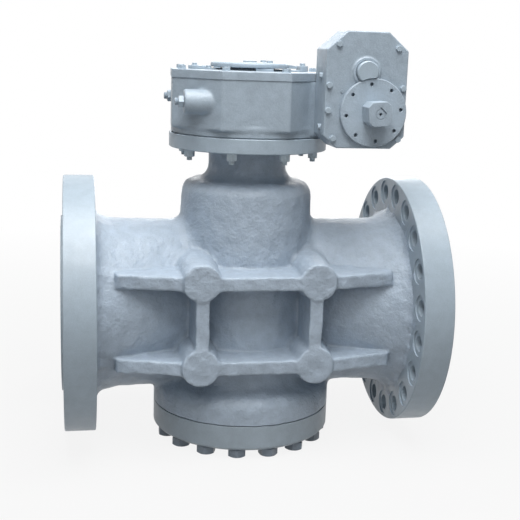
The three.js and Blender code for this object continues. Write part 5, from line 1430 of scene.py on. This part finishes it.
# Each paint carries painted highlight on convex edges and painted shade in concave creases, both from
# Pointiness.
MATERIALS = {
    "cast": paint("cast_paint", (0.358, 0.428, 0.508), 0.42,
                  [(40, 0.0035), (110, 0.0024), (330, 0.0008)]),
    "turned": paint("turned_paint", (0.325, 0.393, 0.452), 0.38, [(60, 0.0003), (500, 0.00015)],
                    patch=0.04, crease_shade=0.10),
    "box": paint("housing_paint", (0.305, 0.368, 0.428), 0.40,
                 [(45, 0.0008), (120, 0.0009), (420, 0.0004)], patch=0.06, crease_shade=0.12),
    "cover": paint("cover_paint", (0.31, 0.37, 0.42), 0.40,
                   [(50, 0.0006), (120, 0.0005), (380, 0.0004)], patch=0.05, crease_shade=0.12),
    # Paler than the turned paint: painted light, so that the stud nuts in the top flange's shade still
    # look lit.
    "nut": paint("nut_paint", (0.50, 0.57, 0.61), 0.38, [(60, 0.0003), (500, 0.00015)], edge=0.5),
    "bolt": paint("bolt_paint", (0.17, 0.205, 0.245), 0.42, [(300, 0.0003)], edge=0.5),
    "bare": metal("turned_steel", (0.50, 0.50, 0.49), 0.34),
    "steel": metal("ground_steel", (0.56, 0.56, 0.57), 0.28),
    "gear": metal("gear_steel", (0.36, 0.36, 0.37), 0.38),
    "bronze": metal("bearing_bronze", (0.55, 0.38, 0.18), 0.32),
    "graphite": paint("graphite", (0.04, 0.04, 0.04), 0.7, [(300, 0.0003)], edge=0.1),
}
SLOT_MATERIALS = {
    "painted_casting": "box",
    "painted_machined": "turned",
    "painted_fastener": "bolt",
    "bronze": "bronze",
    "graphite": "graphite",
    "gear_steel": "gear",
    "machined_steel": "steel",
}


def dress_nodes():
    """Every CAD node that still shows gets the material of its slot."""
    for name, obj in frame["nodes"].items():
        obj.data.materials.clear()
        obj.data.materials.append(MATERIALS[SLOT_MATERIALS[NODE_SLOTS[name]]])


# Room, light and camera

def camera():
    data = bpy.data.cameras.new("photo_camera")
    data.sensor_width = SENSOR_WIDTH
    data.lens = FOCAL_PIXELS / IMAGE_SIZE * SENSOR_WIDTH
    data.clip_start, data.clip_end = 0.1, 50
    made = linked("photo_camera", data)
    turn = Matrix.Rotation(-CAMERA_YAW, 4, "Z")
    tilt = Matrix.Rotation(math.pi / 2 - CAMERA_PITCH, 4, "X")
    roll = Matrix.Rotation(CAMERA_ROLL, 4, "Z")
    made.matrix_world = Matrix.Translation(CAMERA_PLACE) @ turn @ tilt @ roll
    bpy.context.scene.camera = made


def background_rays(tree):
    """1 for rays that see the background straight on, in a gloss or through glass."""
    path = tree.nodes.new("ShaderNodeLightPath")
    total = path.outputs["Is Camera Ray"]
    for name in ("Is Glossy Ray", "Is Transmission Ray"):
        added = node(tree, "ShaderNodeMath", operation="MAXIMUM")
        tree.links.new(total, added.inputs[0])
        tree.links.new(path.outputs[name], added.inputs[1])
        total = added.outputs[0]
    return total


def mixed_shader(tree, factor, first, second, output):
    """Sends a mix of two shaders to the output."""
    mix = tree.nodes.new("ShaderNodeMixShader")
    for socket, source in enumerate((factor, first.outputs[0], second.outputs[0])):
        tree.links.new(source, mix.inputs[socket])
    tree.links.new(mix.outputs[0], tree.nodes[output].inputs["Surface"])


def world():
    """A faint sky light that looks white wherever it is seen."""
    made = bpy.data.worlds.new("studio")
    made.use_nodes = True
    bpy.context.scene.world = made
    tree = made.node_tree
    light = tree.nodes["Background"]
    light.inputs["Color"].default_value = WORLD_COLOUR
    light.inputs["Strength"].default_value = WORLD_STRENGTH
    white = node(tree, "ShaderNodeBackground", Color=(1, 1, 1, 1), Strength=1.0)
    mixed_shader(tree, background_rays(tree), light, white, "World Output")


def floor():
    """A pale floor that keeps part of the object's shadow and fades to white."""
    made = block("floor", FLOOR_SIDES, -0.02, -0.0005)
    material, tree, shader, at = start_material("pale_floor")
    low, high = FLOOR_TONES
    tone = ramp(tree, noise(tree, at, 3, 3), [(0.3, grey(low)), (0.7, grey(high))])
    feed(tree, shader, Base_Color=tone)
    shader.inputs["Roughness"].default_value = 0.8
    glow = node(tree, "ShaderNodeEmission", Strength=1.0)
    away = node(tree, "ShaderNodeVectorMath", operation="LENGTH")
    tree.links.new(at, away.inputs[0])
    near, far = FLOOR_GLOW_FADE
    fade = node(tree, "ShaderNodeMapRange", From_Min=near, From_Max=far, To_Min=FLOOR_GLOW, To_Max=1.0)
    tree.links.new(away.outputs["Value"], fade.inputs["Value"])
    share = node(tree, "ShaderNodeMath", operation="MULTIPLY")
    tree.links.new(background_rays(tree), share.inputs[0])
    tree.links.new(fade.outputs["Result"], share.inputs[1])
    mixed_shader(tree, share.outputs[0], shader, glow, "Material Output")
    made.data.materials.append(material)


def lamps():
    for name, place_at, size, power in LAMPS:
        data = bpy.data.lights.new(name, "AREA")
        data.shape, data.size, data.energy = "DISK", size, power
        lamp = linked(name, data)
        turn = (LAMP_AIM - Vector(place_at)).to_track_quat("-Z", "Y").to_matrix().to_4x4()
        lamp.matrix_world = Matrix.Translation(place_at) @ turn


dress_nodes()
valve_body()
bottom_cover()
adjuster()
cover_bolts()
flange_studs()
gear_housing()
housing_cover()
indicator_plate()
stem()
position_pointer()
travel_stops()
reduction_case()
reduction_cover()
layshaft_cap()
input_flange()
input_shaft()
worm_end_cap()
plug()
world()
floor()
lamps()
camera()
bpy.context.scene.view_settings.view_transform = "Standard"
